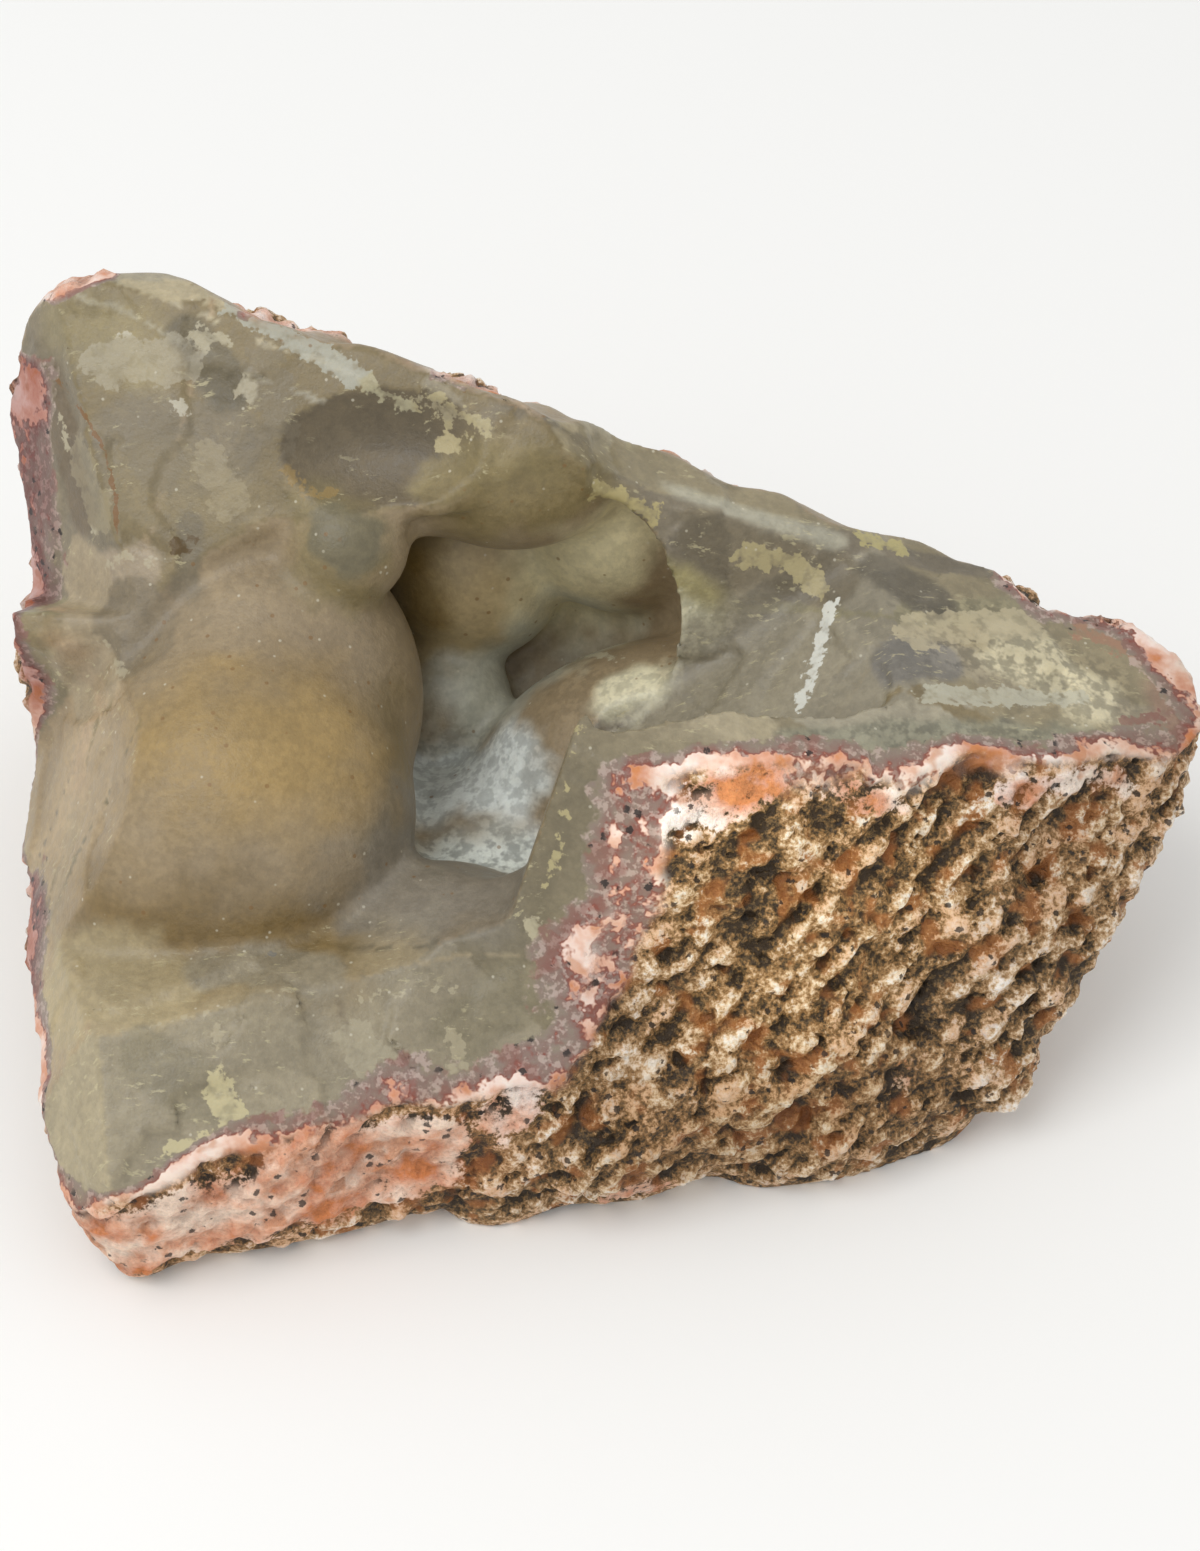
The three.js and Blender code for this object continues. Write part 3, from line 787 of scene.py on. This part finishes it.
def mark_surfaces(mesh, sizes, colours):
    """Writes what each point of the surface is: crust or not, how deep, and what colour."""
    points = points_of(mesh)
    whole, skin, inner, bare, tone = stone_distance(points, sizes)
    drift = np.stack([clouds(points, DRIFT_SIZE, shift) for shift in DRIFT_SHIFTS], -1) - 0.5
    wandered = points + (DRIFT_REACH * drift).astype(np.float32)
    swell = 0.5 + clouds(points, SWELL_SIZE, SWELL_SHIFT)
    worn = strongest(wandered, WORN)
    bruised = strongest(wandered, BRUISES)
    crust = np.clip(1.6 + skin / 0.35, 0, 1) * np.clip(-bare / 0.5, 0, 1) * (1 - worn)
    crust = crust * (1 - bruised)
    lining = np.where(inner > bare, 1.0, 0.0) * (1 - crust)
    mark(mesh, "crust", crust)
    mark(mesh, "lining", lining)

    wash = np.ones((len(points), 4))
    wash[:, :3] = colours.body
    wash[:, :3] += lining[:, None] * (np.array(colours.lining) - colours.body)
    tone_breaks(points, wash, whole, inner, bare)
    lay_washes(points, wandered, swell, wash)
    wash[:, 3] = np.maximum(BLOTCH_LEAST, strongest(wandered, BLOTCHES))
    rough = 0.2 + 0.16 * reached(points, 9, 3, ROUGH_SLOPE)
    wash[:, :3] *= (1 + tone * rough * (1 - lining))[:, None]
    mark_colour(mesh, "wash", wash)

    mark_flakes(mesh, points, swell)
    mark_cracks(mesh, points)
    level = band_level(points, skin, worn, bruised)
    mark(mesh, "level", level)
    mark_clouds(mesh, points)
    mark(mesh, "blush", strongest(wandered, BLUSHES))
    mark_tints(mesh, wandered, level)


# ---- node trees ----
class Graph:
    """Adds nodes to a tree in as few words as their settings need."""

    def __init__(self, tree):
        self.tree = tree

    def add(self, kind, *values, **settings):
        node = self.tree.nodes.new(kind)
        for name, value in settings.items():
            setattr(node, name, value)
        for socket, value in zip(node.inputs, values):
            self.put(socket, value)
        return node

    def put(self, socket, value):
        if isinstance(value, bpy.types.NodeSocket):
            self.tree.links.new(value, socket)
        elif value is not None:
            socket.default_value = value

    def math(self, operation, *values):
        return self.add("ShaderNodeMath", *values, operation=operation).outputs[0]

    def vector(self, operation, *values, scale=None):
        node = self.add("ShaderNodeVectorMath", *values, operation=operation)
        if scale is not None:
            node.inputs["Scale"].default_value = scale
        return node.outputs[0]

    def mix(self, amount, a, b):
        node = self.add("ShaderNodeMix", data_type="RGBA")
        self.put(node.inputs[0], amount)
        for socket, value in ((node.inputs[6], a), (node.inputs[7], b)):
            if isinstance(value, str):
                value = linear(value)
            if not isinstance(value, bpy.types.NodeSocket):
                value = list(value)[:3] + [1]
            self.put(socket, value)
        return node.outputs[2]

    def ramp(self, amount, stops):
        node = self.add("ShaderNodeValToRGB", amount)
        ramp = node.color_ramp
        while len(ramp.elements) < len(stops):
            ramp.elements.new(0.5)
        for element, (place, colour) in zip(ramp.elements, stops):
            element.position = place
            rgb = linear(colour) if isinstance(colour, str) else list(colour)[:3]
            element.color = rgb + [1]
        return node.outputs[0]

    def range(self, value, low, high, to_low=0.0, to_high=1.0, smooth=True):
        kind = "SMOOTHSTEP" if smooth else "LINEAR"
        node = self.add("ShaderNodeMapRange", value, low, high, to_low, to_high,
                        interpolation_type=kind)
        return node.outputs[0]

    def noise(self, vector, size, detail=3.0, roughness=0.5, offset=0.0):
        """Noise whose blotches are about `size` across, in the vector's own unit."""
        if offset:
            vector = self.vector("ADD", vector, (offset, offset * 1.7, offset * 0.6))
        node = self.add("ShaderNodeTexNoise", noise_dimensions="3D")
        self.put(node.inputs["Vector"], vector)
        for name, value in (("Scale", 1 / size), ("Detail", detail), ("Roughness", roughness)):
            node.inputs[name].default_value = value
        return node.outputs[0]

    def noise_colour(self, vector, size):
        """Three noises as a vector about zero."""
        node = self.add("ShaderNodeTexNoise", noise_dimensions="3D")
        self.put(node.inputs["Vector"], vector)
        node.inputs["Scale"].default_value = 1 / size
        return self.vector("SUBTRACT", node.outputs["Color"], (0.5, 0.5, 0.5))

    def voronoi(self, vector, size):
        node = self.add("ShaderNodeTexVoronoi")
        self.put(node.inputs["Vector"], vector)
        node.inputs["Scale"].default_value = 1 / size
        return node

    def shade(self, colour, amount):
        node = self.add("ShaderNodeVectorMath", operation="SCALE")
        self.put(node.inputs[0], colour)
        self.put(node.inputs["Scale"], amount)
        return node.outputs[0]

    def field(self, name, output="Fac"):
        return self.add("ShaderNodeAttribute", attribute_name=name).outputs[output]


class Patterns:
    """The noises and specks that the stone's colours share."""

    def __init__(self, g, mm):
        self.fine = g.noise(mm, 0.7, 2, 0.7, offset=21)
        self.wave = g.noise(mm, 1.2, 2, 0.65, offset=15)
        self.grain = g.noise(mm, 0.45, 2, 0.7, offset=3)
        split = g.add("ShaderNodeSeparateColor", g.field("drift", "Color"))
        self.wide, self.middle, self.narrow = split.outputs
        cells = g.voronoi(mm, 1.3)
        self.speck = cells.outputs["Distance"]
        self.chance = cells.outputs["Color"]
        ragged = g.range(self.grain, 0.3, 0.7, -0.12, 0.12, False)
        self.spot = g.math("ADD", self.speck, ragged)


def chalcedony_colour(g, mm, colours, patterns):
    """The washes with clouds, fine mottling, scratches, ragged flakes and rusty cracks; some of the
    flakes are painted glints, painted highlights and a painted shadow.
    """
    lining = g.field("lining")
    cloud = g.range(patterns.wide, 0.25, 0.75, 0.90, 1.10, False)
    mottle = g.range(patterns.fine, 0.3, 0.7, 0.91, 1.09, False)
    body = g.shade(g.field("wash", "Color"), g.math("MULTIPLY", cloud, mottle))
    blotch = g.range(g.math("ADD", patterns.wave, g.math("MULTIPLY", patterns.fine, 0.3)),
                     0.56, 0.74, -0.35, 0.35)
    blotch = g.math("MULTIPLY", blotch, g.field("wash", "Alpha"))
    body = g.shade(body, g.math("ADD", 1.0, blotch))

    stretched = g.vector("MULTIPLY", mm, (0.6, 2.0, 0.7))
    scratch = g.range(g.noise(stretched, 0.8, 3, 0.7, offset=9), 0.57, 0.68)
    scratch = g.math("MULTIPLY", scratch, g.range(patterns.middle, 0.48, 0.66))
    scratch = g.math("MULTIPLY", scratch, g.math("SUBTRACT", 1.0, lining))
    body = g.mix(g.math("MULTIPLY", scratch, 0.6), body, colours.scratch)

    # flakes, with the painted glints, painted highlights and painted shadow among them
    ragged = g.range(patterns.wave, 0.25, 0.75, -0.6, 0.6, False)
    ragged = g.math("ADD", ragged, g.range(patterns.grain, 0.3, 0.7, -0.2, 0.2, False))
    edge = g.math("ADD", g.field("flake"), ragged)
    amount = g.math("MULTIPLY", g.range(edge, -0.1, 0.1), g.field("flake paint", "Alpha"))
    amount = g.math("MULTIPLY", amount, g.range(patterns.wave, 0.36, 0.56, 0.55, 1.0))
    body = g.mix(amount, body, g.field("flake paint", "Color"))

    spots = g.math("MULTIPLY", g.range(patterns.speck, 0.10, 0.17, 1, 0),
                   g.range(patterns.chance, 0.60, 0.66))
    rusty = g.math("MULTIPLY", g.math("MULTIPLY", spots, lining), 0.6)
    body = g.mix(rusty, body, RUST_SPOT)
    dust = g.math("MULTIPLY", g.range(patterns.speck, 0.05, 0.13, 1, 0),
                  g.range(patterns.chance, 0.42, 0.36))
    body = g.mix(g.math("MULTIPLY", dust, 0.5), body, PALE_DUST)

    thin = g.range(patterns.fine, 0.35, 0.65, 0.02, 0.30, False)
    crack = g.math("LESS_THAN", g.math("ABSOLUTE", g.field("crack")), thin)
    crack = g.math("MULTIPLY", crack, g.range(g.field("crack near"), 1.0, 1.3))
    return g.mix(g.math("MULTIPLY", crack, 0.85), body, colours.crack)


def skin_colour(g, colours, patterns):
    """Smooth pink and white layer, stained orange in places."""
    tint = g.math("ADD", patterns.middle, g.range(patterns.wave, 0.3, 0.7, -0.1, 0.1, False))
    skin = g.ramp(tint, [(0.24, colours.orange), (0.34, colours.salmon), (0.44, PEACH_SKIN),
                         (0.56, colours.pink_white), (0.70, WHITE_SKIN)])
    stain = g.range(patterns.narrow, 0.64, 0.74)
    return g.mix(g.math("MULTIPLY", stain, 0.6), skin, ORANGE_STAIN)


def banded_colour(g, colours, patterns, body, skin):
    """Pink, red brown and mauve layers, in lobes, between the crust and the chalcedony."""
    wave = g.range(patterns.wave, 0.25, 0.75, -0.3, 0.3, False)
    level = g.math("ADD", g.field("level"), wave)
    deep = g.ramp(level, [(0.30, colours.salmon), (0.39, colours.red_brown),
                          (0.50, colours.mauve), (0.80, BAND_BROWN), (0.98, BAND_GREY)])
    blots = g.range(patterns.fine, 0.50, 0.62)
    deep = g.mix(g.math("MULTIPLY", blots, 0.5), deep, PALE_BLOT)
    reds = g.range(patterns.narrow, 0.46, 0.36)
    deep = g.mix(g.math("MULTIPLY", reds, 0.45), deep, colours.red_brown)
    dot = g.math("MULTIPLY", g.range(patterns.spot, 0.20, 0.28, 1, 0),
                 g.range(patterns.middle, 0.50, 0.56))
    deep = g.mix(g.math("MULTIPLY", dot, 0.9), deep, BAND_DOT)
    band = g.mix(g.range(level, 0.26, 0.38), skin, deep)
    return g.mix(g.range(level, 0.90, 1.08), band, body)


def crust_colour(g, colours, patterns, skin):
    """Pale knobs, tan and rusty hollows, black specks, and pink skin beside the breaks. The colour
    follows the relief's height: the pits are darker partly as painted shade, and the knob tips are
    palest partly as painted highlight.
    """
    grain = g.range(patterns.grain, 0.3, 0.7, -0.24, 0.24, False)
    coarse = g.range(patterns.wide, 0.2, 0.8, -0.10, 0.10, False)
    height = g.math("ADD", g.range(g.field("pit"), -0.9, 0.9, 0.08, 0.97, False), coarse)
    height = g.math("ADD", height, grain)
    # painted shade and highlight: darker browns deeper in the relief's pits and palest cream on its
    # tips, partly the crust's own colours
    bark = g.ramp(height, [(0.16, colours.pit_dark_and_shade), (0.28, colours.hollow_umber_and_shade), (0.40, colours.rust),
                           (0.53, colours.tan), (0.68, colours.cream), (0.86, colours.pale)])
    stain = g.math("MULTIPLY", g.range(patterns.narrow, 0.54, 0.70),
                   g.range(height, 0.80, 0.50))
    bark = g.mix(g.math("MULTIPLY", stain, 0.6), bark, RUST_STAIN)
    peach = g.math("MULTIPLY", g.range(patterns.middle, 0.52, 0.62),
                   g.range(height, 0.45, 0.60))
    bark = g.mix(g.math("MULTIPLY", peach, 0.6), bark, PEACH_KNOB)
    grey = g.math("MULTIPLY", g.range(patterns.wave, 0.54, 0.62), g.range(height, 0.5, 0.65))
    bark = g.mix(g.math("MULTIPLY", grey, 0.5), bark, GREY_KNOB)

    # painted shade and highlight: the pink skin is darkened in the relief's pits and lightened on its
    # tops
    skin_shade_and_highlight = g.shade(skin, g.range(height, 0.15, 0.75, 0.70, 1.10, False))
    lift = g.math("ADD", coarse, g.range(height, 0.2, 0.6, -0.35, 0.05, False))
    amount = g.range(g.math("ADD", g.field("blush"), lift), 0.30, 0.55)
    bark = g.mix(amount, bark, skin_shade_and_highlight)
    dot = g.math("MULTIPLY", g.range(patterns.spot, 0.16, 0.24, 1, 0),
                 g.range(patterns.middle, 0.40, 0.48))
    return g.mix(g.math("MULTIPLY", dot, 0.85), bark, CRUST_DOT)


def stone_material(colours):
    """One material for the whole stone; attributes say where crust and breaks are."""
    material = bpy.data.materials.new("chalcedony stone")
    material.use_nodes = True
    g = Graph(material.node_tree)
    shader = material.node_tree.nodes["Principled BSDF"]
    place = g.add("ShaderNodeTexCoord").outputs["Object"]
    mm = g.vector("SCALE", place, scale=1 / MM)
    crust = g.field("crust")
    patterns = Patterns(g, mm)
    skin = skin_colour(g, colours, patterns)
    body = chalcedony_colour(g, mm, colours, patterns)
    inside = banded_colour(g, colours, patterns, body, skin)
    bark = crust_colour(g, colours, patterns, skin)
    whole = g.vector("MULTIPLY", g.mix(crust, inside, bark), g.field("tint", "Color"))
    g.put(shader.inputs["Base Color"], whole)
    rough = g.range(patterns.fine, 0.3, 0.7, 0.34, 0.52, False)
    g.put(shader.inputs["Roughness"], g.math("ADD", g.math("MULTIPLY", crust, 0.2), rough))
    shader.inputs["Subsurface Weight"].default_value = 0.15
    shader.inputs["Subsurface Radius"].default_value = (1.0, 0.8, 0.55)
    shader.inputs["Subsurface Scale"].default_value = 0.0015
    bump = g.add("ShaderNodeBump")
    bump.inputs["Distance"].default_value = MM
    bumpiness = g.range(crust, 0, 1, 0.06, 0.35)
    g.put(bump.inputs["Height"], g.math("MULTIPLY", patterns.grain, bumpiness))
    g.put(shader.inputs["Normal"], bump.outputs[0])
    return material


def named(g, name):
    node = g.add("GeometryNodeInputNamedAttribute", data_type="FLOAT")
    node.inputs["Name"].default_value = name
    return node.outputs[0]


def relief_tree():
    """Geometry nodes: slanting ridges, cobbles, grains and pits pushed out of the crust."""
    tree = bpy.data.node_groups.new("crust relief", "GeometryNodeTree")
    face = tree.interface
    face.new_socket("Geometry", in_out="INPUT", socket_type="NodeSocketGeometry")
    for name in ("row spacing", "row height", "cobble size", "cobble height", "grain size",
                 "grain height", "pit depth"):
        face.new_socket(name, in_out="INPUT", socket_type="NodeSocketFloat")
    face.new_socket("material", in_out="INPUT", socket_type="NodeSocketMaterial")
    face.new_socket("Geometry", in_out="OUTPUT", socket_type="NodeSocketGeometry")
    g = Graph(tree)
    source = g.add("NodeGroupInput").outputs
    mm = g.vector("SCALE", g.add("GeometryNodeInputPosition").outputs[0], scale=1 / MM)
    lanes = []
    for direction, stretch in ((ROW_ALONG, 0.72), (ROW_ACROSS, 1.0), (ROW_THROUGH, 1.0)):
        dot = g.add("ShaderNodeVectorMath", mm, [v * stretch for v in direction],
                    operation="DOT_PRODUCT")
        lanes.append(dot.outputs["Value"])
    laid = g.add("ShaderNodeCombineXYZ", *lanes).outputs[0]
    bent = g.vector("ADD", laid, g.vector("SCALE", g.noise_colour(mm, 3.5), scale=2.2))

    def cells(vector, size):
        node = g.add("ShaderNodeTexVoronoi", feature="SMOOTH_F1")
        g.put(node.inputs["Vector"], vector)
        g.put(node.inputs["Scale"], g.math("DIVIDE", 1.0, size))
        node.inputs["Smoothness"].default_value = 0.12
        return g.math("SUBTRACT", 0.45, node.outputs["Distance"])

    across = g.add("ShaderNodeSeparateXYZ", bent).outputs[1]
    turns = g.math("DIVIDE", g.math("MULTIPLY", across, 2 * math.pi), source["row spacing"])
    ridges = g.math("MULTIPLY", g.math("SINE", turns), source["row height"])
    ridges = g.math("MULTIPLY", ridges, g.range(g.noise(mm, 8, 2, 0.5, offset=2), 0.35, 0.6))
    cobbles = g.math("MULTIPLY", cells(bent, source["cobble size"]), source["cobble height"])
    grains = g.math("MULTIPLY", cells(mm, source["grain size"]), source["grain height"])
    holes = g.range(g.noise(bent, 2.0, 3, 0.6, offset=8), 0.54, 0.66)
    holes = g.math("MULTIPLY", holes, source["pit depth"])
    height = g.math("ADD", g.math("SUBTRACT", g.math("ADD", cobbles, grains), holes), ridges)
    low = g.add("ShaderNodeSeparateXYZ", mm).outputs[2]
    keep = g.math("MULTIPLY", named(g, "crust"), g.range(low, 0.3, 2.5))
    calm = g.math("SUBTRACT", 1.0, g.math("MULTIPLY", named(g, "blush"), 0.6))
    store = g.add("GeometryNodeStoreNamedAttribute", source["Geometry"], data_type="FLOAT",
                  domain="POINT")
    store.inputs["Name"].default_value = "pit"
    g.put(store.inputs["Value"], height)
    push = g.math("MULTIPLY", g.math("MULTIPLY", height, keep), calm)
    offset = g.shade(g.add("GeometryNodeInputNormal").outputs[0], g.math("MULTIPLY", push, MM))
    moved = g.add("GeometryNodeSetPosition", store.outputs[0])
    g.put(moved.inputs["Offset"], offset)
    real = g.add("GeometryNodeRealizeInstances", moved.outputs[0])
    finish = g.add("GeometryNodeSetMaterial", real.outputs[0])
    g.put(finish.inputs["Material"], source["material"])
    g.add("NodeGroupOutput", finish.outputs[0])
    return tree


def run_nodes(piece, tree, inputs):
    """Evaluates a geometry nodes tree on the piece and keeps the plain mesh."""
    modifier = piece.modifiers.new("shape", "NODES")
    modifier.node_group = tree
    sockets = {s.name: s.identifier for s in tree.interface.items_tree if s.in_out == "INPUT"}
    for name, value in inputs.items():
        modifier[sockets[name]] = value
    return bake_modifiers(piece)


def bake_modifiers(piece):
    """Keeps the evaluated shape as a plain mesh and clears the modifiers."""
    graph = bpy.context.evaluated_depsgraph_get()
    graph.update()
    mesh = bpy.data.meshes.new_from_object(piece.evaluated_get(graph), depsgraph=graph)
    old = piece.data
    piece.modifiers.clear()
    piece.data = mesh
    bpy.data.meshes.remove(old)
    return piece


HIDDEN_WAY = (0, 0.8, -0.6)      # faces looking this way, back and down, are thinned most
HIDDEN_LEVELS = 10


def thin_out(piece, target):
    """Collapses edges until the piece keeps the target number of triangles."""
    triangles = sum(len(p.vertices) - 2 for p in piece.data.polygons)
    if triangles <= target:
        return
    points = points_of(piece.data)
    looks = np.empty(len(points) * 3, np.float32)
    piece.data.vertices.foreach_get("normal", looks)
    looks = looks.reshape(-1, 3)
    away = unit(HIDDEN_WAY).astype(np.float32)
    hidden = np.clip(0.5 + looks @ away * 1.5, 0.0, 1)
    group = piece.vertex_groups.new(name="hidden")
    levels = np.round(hidden * HIDDEN_LEVELS).astype(int)
    for level in range(1, HIDDEN_LEVELS + 1):
        weight = level / HIDDEN_LEVELS
        group.add(np.flatnonzero(levels == level).tolist(), weight, "REPLACE")
    modifier = piece.modifiers.new("thin", "DECIMATE")
    modifier.ratio = target / triangles
    modifier.vertex_group = group.name
    modifier.use_collapse_triangulate = True
    bake_modifiers(piece)
    piece.vertex_groups.clear()


# ---- settings ----
def length(name, text, default, low=0.0, high=20.0):
    return FloatProperty(name=name, description=text, default=default, min=low, max=high)


def paint(name, text, code):
    return FloatVectorProperty(name=name, description=text, default=linear(code), size=3,
                               subtype="COLOR", min=0, max=1)


class StoneSizes(bpy.types.PropertyGroup):
    lump_height: length("Lump height", "Height of the crust's lumps, mm", 1.3)
    row_length: length("Row length", "Spacing of the lumps along their rows, mm", 7)
    row_width: length("Row width", "Spacing of the lumps across their rows, mm", 4.6)
    facet_size: length("Facet size", "Spacing of the facets on a broken face, mm", 7)
    step_height: length("Step height", "Height of the facets on a broken face, mm", 0.45)
    ripple_height: length("Ripple height", "Height of the ripples on a broken face, mm", 0.18)
    ridge_spacing: length("Ridge spacing", "Spacing of the crust's slanting ridges, mm", 2.3)
    ridge_height: length("Ridge height", "Height of the crust's slanting ridges, mm", 0.28)
    cobble_size: length("Cobble size", "Spacing of the crust's cobbles, mm", 1.9)
    cobble_height: length("Cobble height", "Height of the crust's cobbles, mm", 1.4)
    grain_size: length("Grain size", "Spacing of the crust's grains, mm", 1.0)
    grain_height: length("Grain height", "Height of the crust's grains, mm", 0.5)
    pit_depth: length("Pit depth", "Depth of the crust's pits, mm", 0.7)
    step: length("Sampling step", "Distance between sampled points, mm", 0.42, 0.2, 2)
    triangles: IntProperty(name="Triangles", description="Triangles kept in the stone",
                           default=195000, min=20000, max=199000)


class StoneColours(bpy.types.PropertyGroup):
    body: paint("Body", "Broken chalcedony", "#8b8065")
    lining: paint("Lining", "Rounded growths in the hollow", "#948367")
    scratch: paint("Scratch", "Pale scratches on the broken faces", "#c2b892")
    crack: paint("Crack", "Rusty cracks", "#7c5830")
    # pale, umber and dark follow the crust's relief height: the palest tone is partly a painted
    # highlight on the tips, and the umber and dark pit tones are partly painted shade in the hollows
    pale: paint("Pale", "Palest tips of the crust", "#f4eadf")
    cream: paint("Cream", "Pale crust", "#dfc6a8")
    tan: paint("Tan", "Middle tone of the crust", "#b39169")
    rust: paint("Rust", "Brown slopes of the crust", "#8a673c")
    hollow_umber_and_shade: paint("Umber", "Dark hollows of the crust", "#5f4a2b")
    pit_dark_and_shade: paint("Dark", "Deep pits of the crust", "#33240f")
    pink_white: paint("Pink white", "Pale layer under the crust", "#ecd0c2")
    salmon: paint("Salmon", "Salmon layer under the crust", "#d29a80")
    orange: paint("Orange", "Stain at the crust", "#cb8350")
    red_brown: paint("Red brown", "Dark band under the crust", "#84483b")
    mauve: paint("Mauve", "Band between crust and chalcedony", "#85695f")


class StageSettings(bpy.types.PropertyGroup):
    floor: paint("Floor", "Colour of the floor", "#f8f8f6")
    key: FloatProperty(name="Key light", description="Power of the main soft light, W",
                       default=1.1, min=0)
    sky: FloatProperty(name="Surrounding light", description="Strength of the even light",
                       default=0.78, min=0)


# ---- pieces ----
class STONE_OT_chalcedony(bpy.types.Operator):
    """Builds the stone in place of its plain solid"""
    bl_idname = "stone.chalcedony"
    bl_label = "Build the chalcedony"

    def execute(self, context):
        sizes, colours = context.scene.stone_sizes, context.scene.stone_colours
        step = sizes.step
        values, low = sample(sizes, step)
        vertices, quads = surface_nets(values, low, step)
        mesh = mesh_from("chalcedony stone", vertices, quads)
        piece = new_object("chalcedony_stone", mesh)
        mark_surfaces(mesh, sizes, colours)
        material = stone_material(colours)
        run_nodes(piece, relief_tree(), {
            "row spacing": sizes.ridge_spacing, "row height": sizes.ridge_height,
            "cobble size": sizes.cobble_size, "cobble height": sizes.cobble_height,
            "grain size": sizes.grain_size, "grain height": sizes.grain_height,
            "pit depth": sizes.pit_depth, "material": material})
        thin_out(piece, sizes.triangles)
        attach(piece, BODY)
        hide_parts(NODE)
        return {"FINISHED"}


class STONE_OT_stage(bpy.types.Operator):
    """Builds the pale floor, the soft lights and the camera"""
    bl_idname = "stone.stage"
    bl_label = "Build the stage"

    def execute(self, context):
        stage = context.scene.stone_stage
        turns = ((-1, -1), (1, -1), (1, 1), (-1, 1))
        corners = np.array([(FLOOR_HALF * x, FLOOR_HALF * y, 0) for x, y in turns])
        floor = new_object("floor", mesh_from("floor", corners / MM, np.array([[0, 1, 2, 3]])))
        material = bpy.data.materials.new("pale floor")
        material.use_nodes = True
        shader = material.node_tree.nodes["Principled BSDF"]
        shader.inputs["Base Color"].default_value = list(stage.floor) + [1]
        shader.inputs["Roughness"].default_value = 0.9
        floor.data.materials.append(material)

        world = bpy.data.worlds.new("even light")
        context.scene.world = world
        context.scene.view_settings.view_transform = "Standard"
        world.use_nodes = True
        sky = world.node_tree.nodes["Background"]
        sky.inputs["Color"].default_value = (1, 1, 1, 1)
        sky.inputs["Strength"].default_value = stage.sky
        add_light("key", KEY_PLACE, stage.key, KEY_SIZE)
        add_camera()
        return {"FINISHED"}


def aim(thing, place, target):
    back = (Vector(place) - Vector(target)).to_track_quat("Z", "Y")
    thing.matrix_world = Matrix.Translation(place) @ back.to_matrix().to_4x4()


def add_light(name, place, power, size):
    light = bpy.data.lights.new(name, "AREA")
    light.energy = power
    light.size = size
    lamp = new_object(name, light)
    aim(lamp, place, KEY_AIM)


def add_camera():
    data = bpy.data.cameras.new("camera")
    data.lens = CAMERA_LENS
    data.sensor_fit = "VERTICAL"
    data.sensor_height = data.sensor_width = CAMERA_SENSOR
    data.clip_start = 0.01
    camera = new_object("camera", data)
    rise = math.radians(CAMERA_HEIGHT)
    target = Vector(CAMERA_TARGET) * MM
    away = Vector((0, -math.cos(rise), math.sin(rise))) * CAMERA_AWAY * MM
    aim(camera, target + away, target)
    bpy.context.scene.camera = camera


class STONE_PT_panel(bpy.types.Panel):
    """Lists the pieces and their settings"""
    bl_idname = "STONE_PT_panel"
    bl_label = "Rough chalcedony"
    bl_space_type = "VIEW_3D"
    bl_region_type = "UI"
    bl_category = "Stone"

    def draw(self, context):
        for kind in OPERATORS:
            self.layout.operator(kind.bl_idname)
        for name, group in SETTINGS.items():
            box = self.layout.box()
            for key in group.__annotations__:
                box.prop(getattr(context.scene, name), key)


OPERATORS = (STONE_OT_chalcedony, STONE_OT_stage)
SETTINGS = {"stone_sizes": StoneSizes, "stone_colours": StoneColours, "stone_stage": StageSettings}


def register():
    for kind in (*SETTINGS.values(), *OPERATORS, STONE_PT_panel):
        bpy.utils.register_class(kind)
    for name, group in SETTINGS.items():
        setattr(bpy.types.Scene, name, PointerProperty(type=group))


def unregister():
    for name in SETTINGS:
        delattr(bpy.types.Scene, name)
    for kind in reversed((*SETTINGS.values(), *OPERATORS, STONE_PT_panel)):
        bpy.utils.unregister_class(kind)


def main():
    register()
    bpy.ops.stone.chalcedony()
    bpy.ops.stone.stage()


if __name__ == "__main__":
    main()
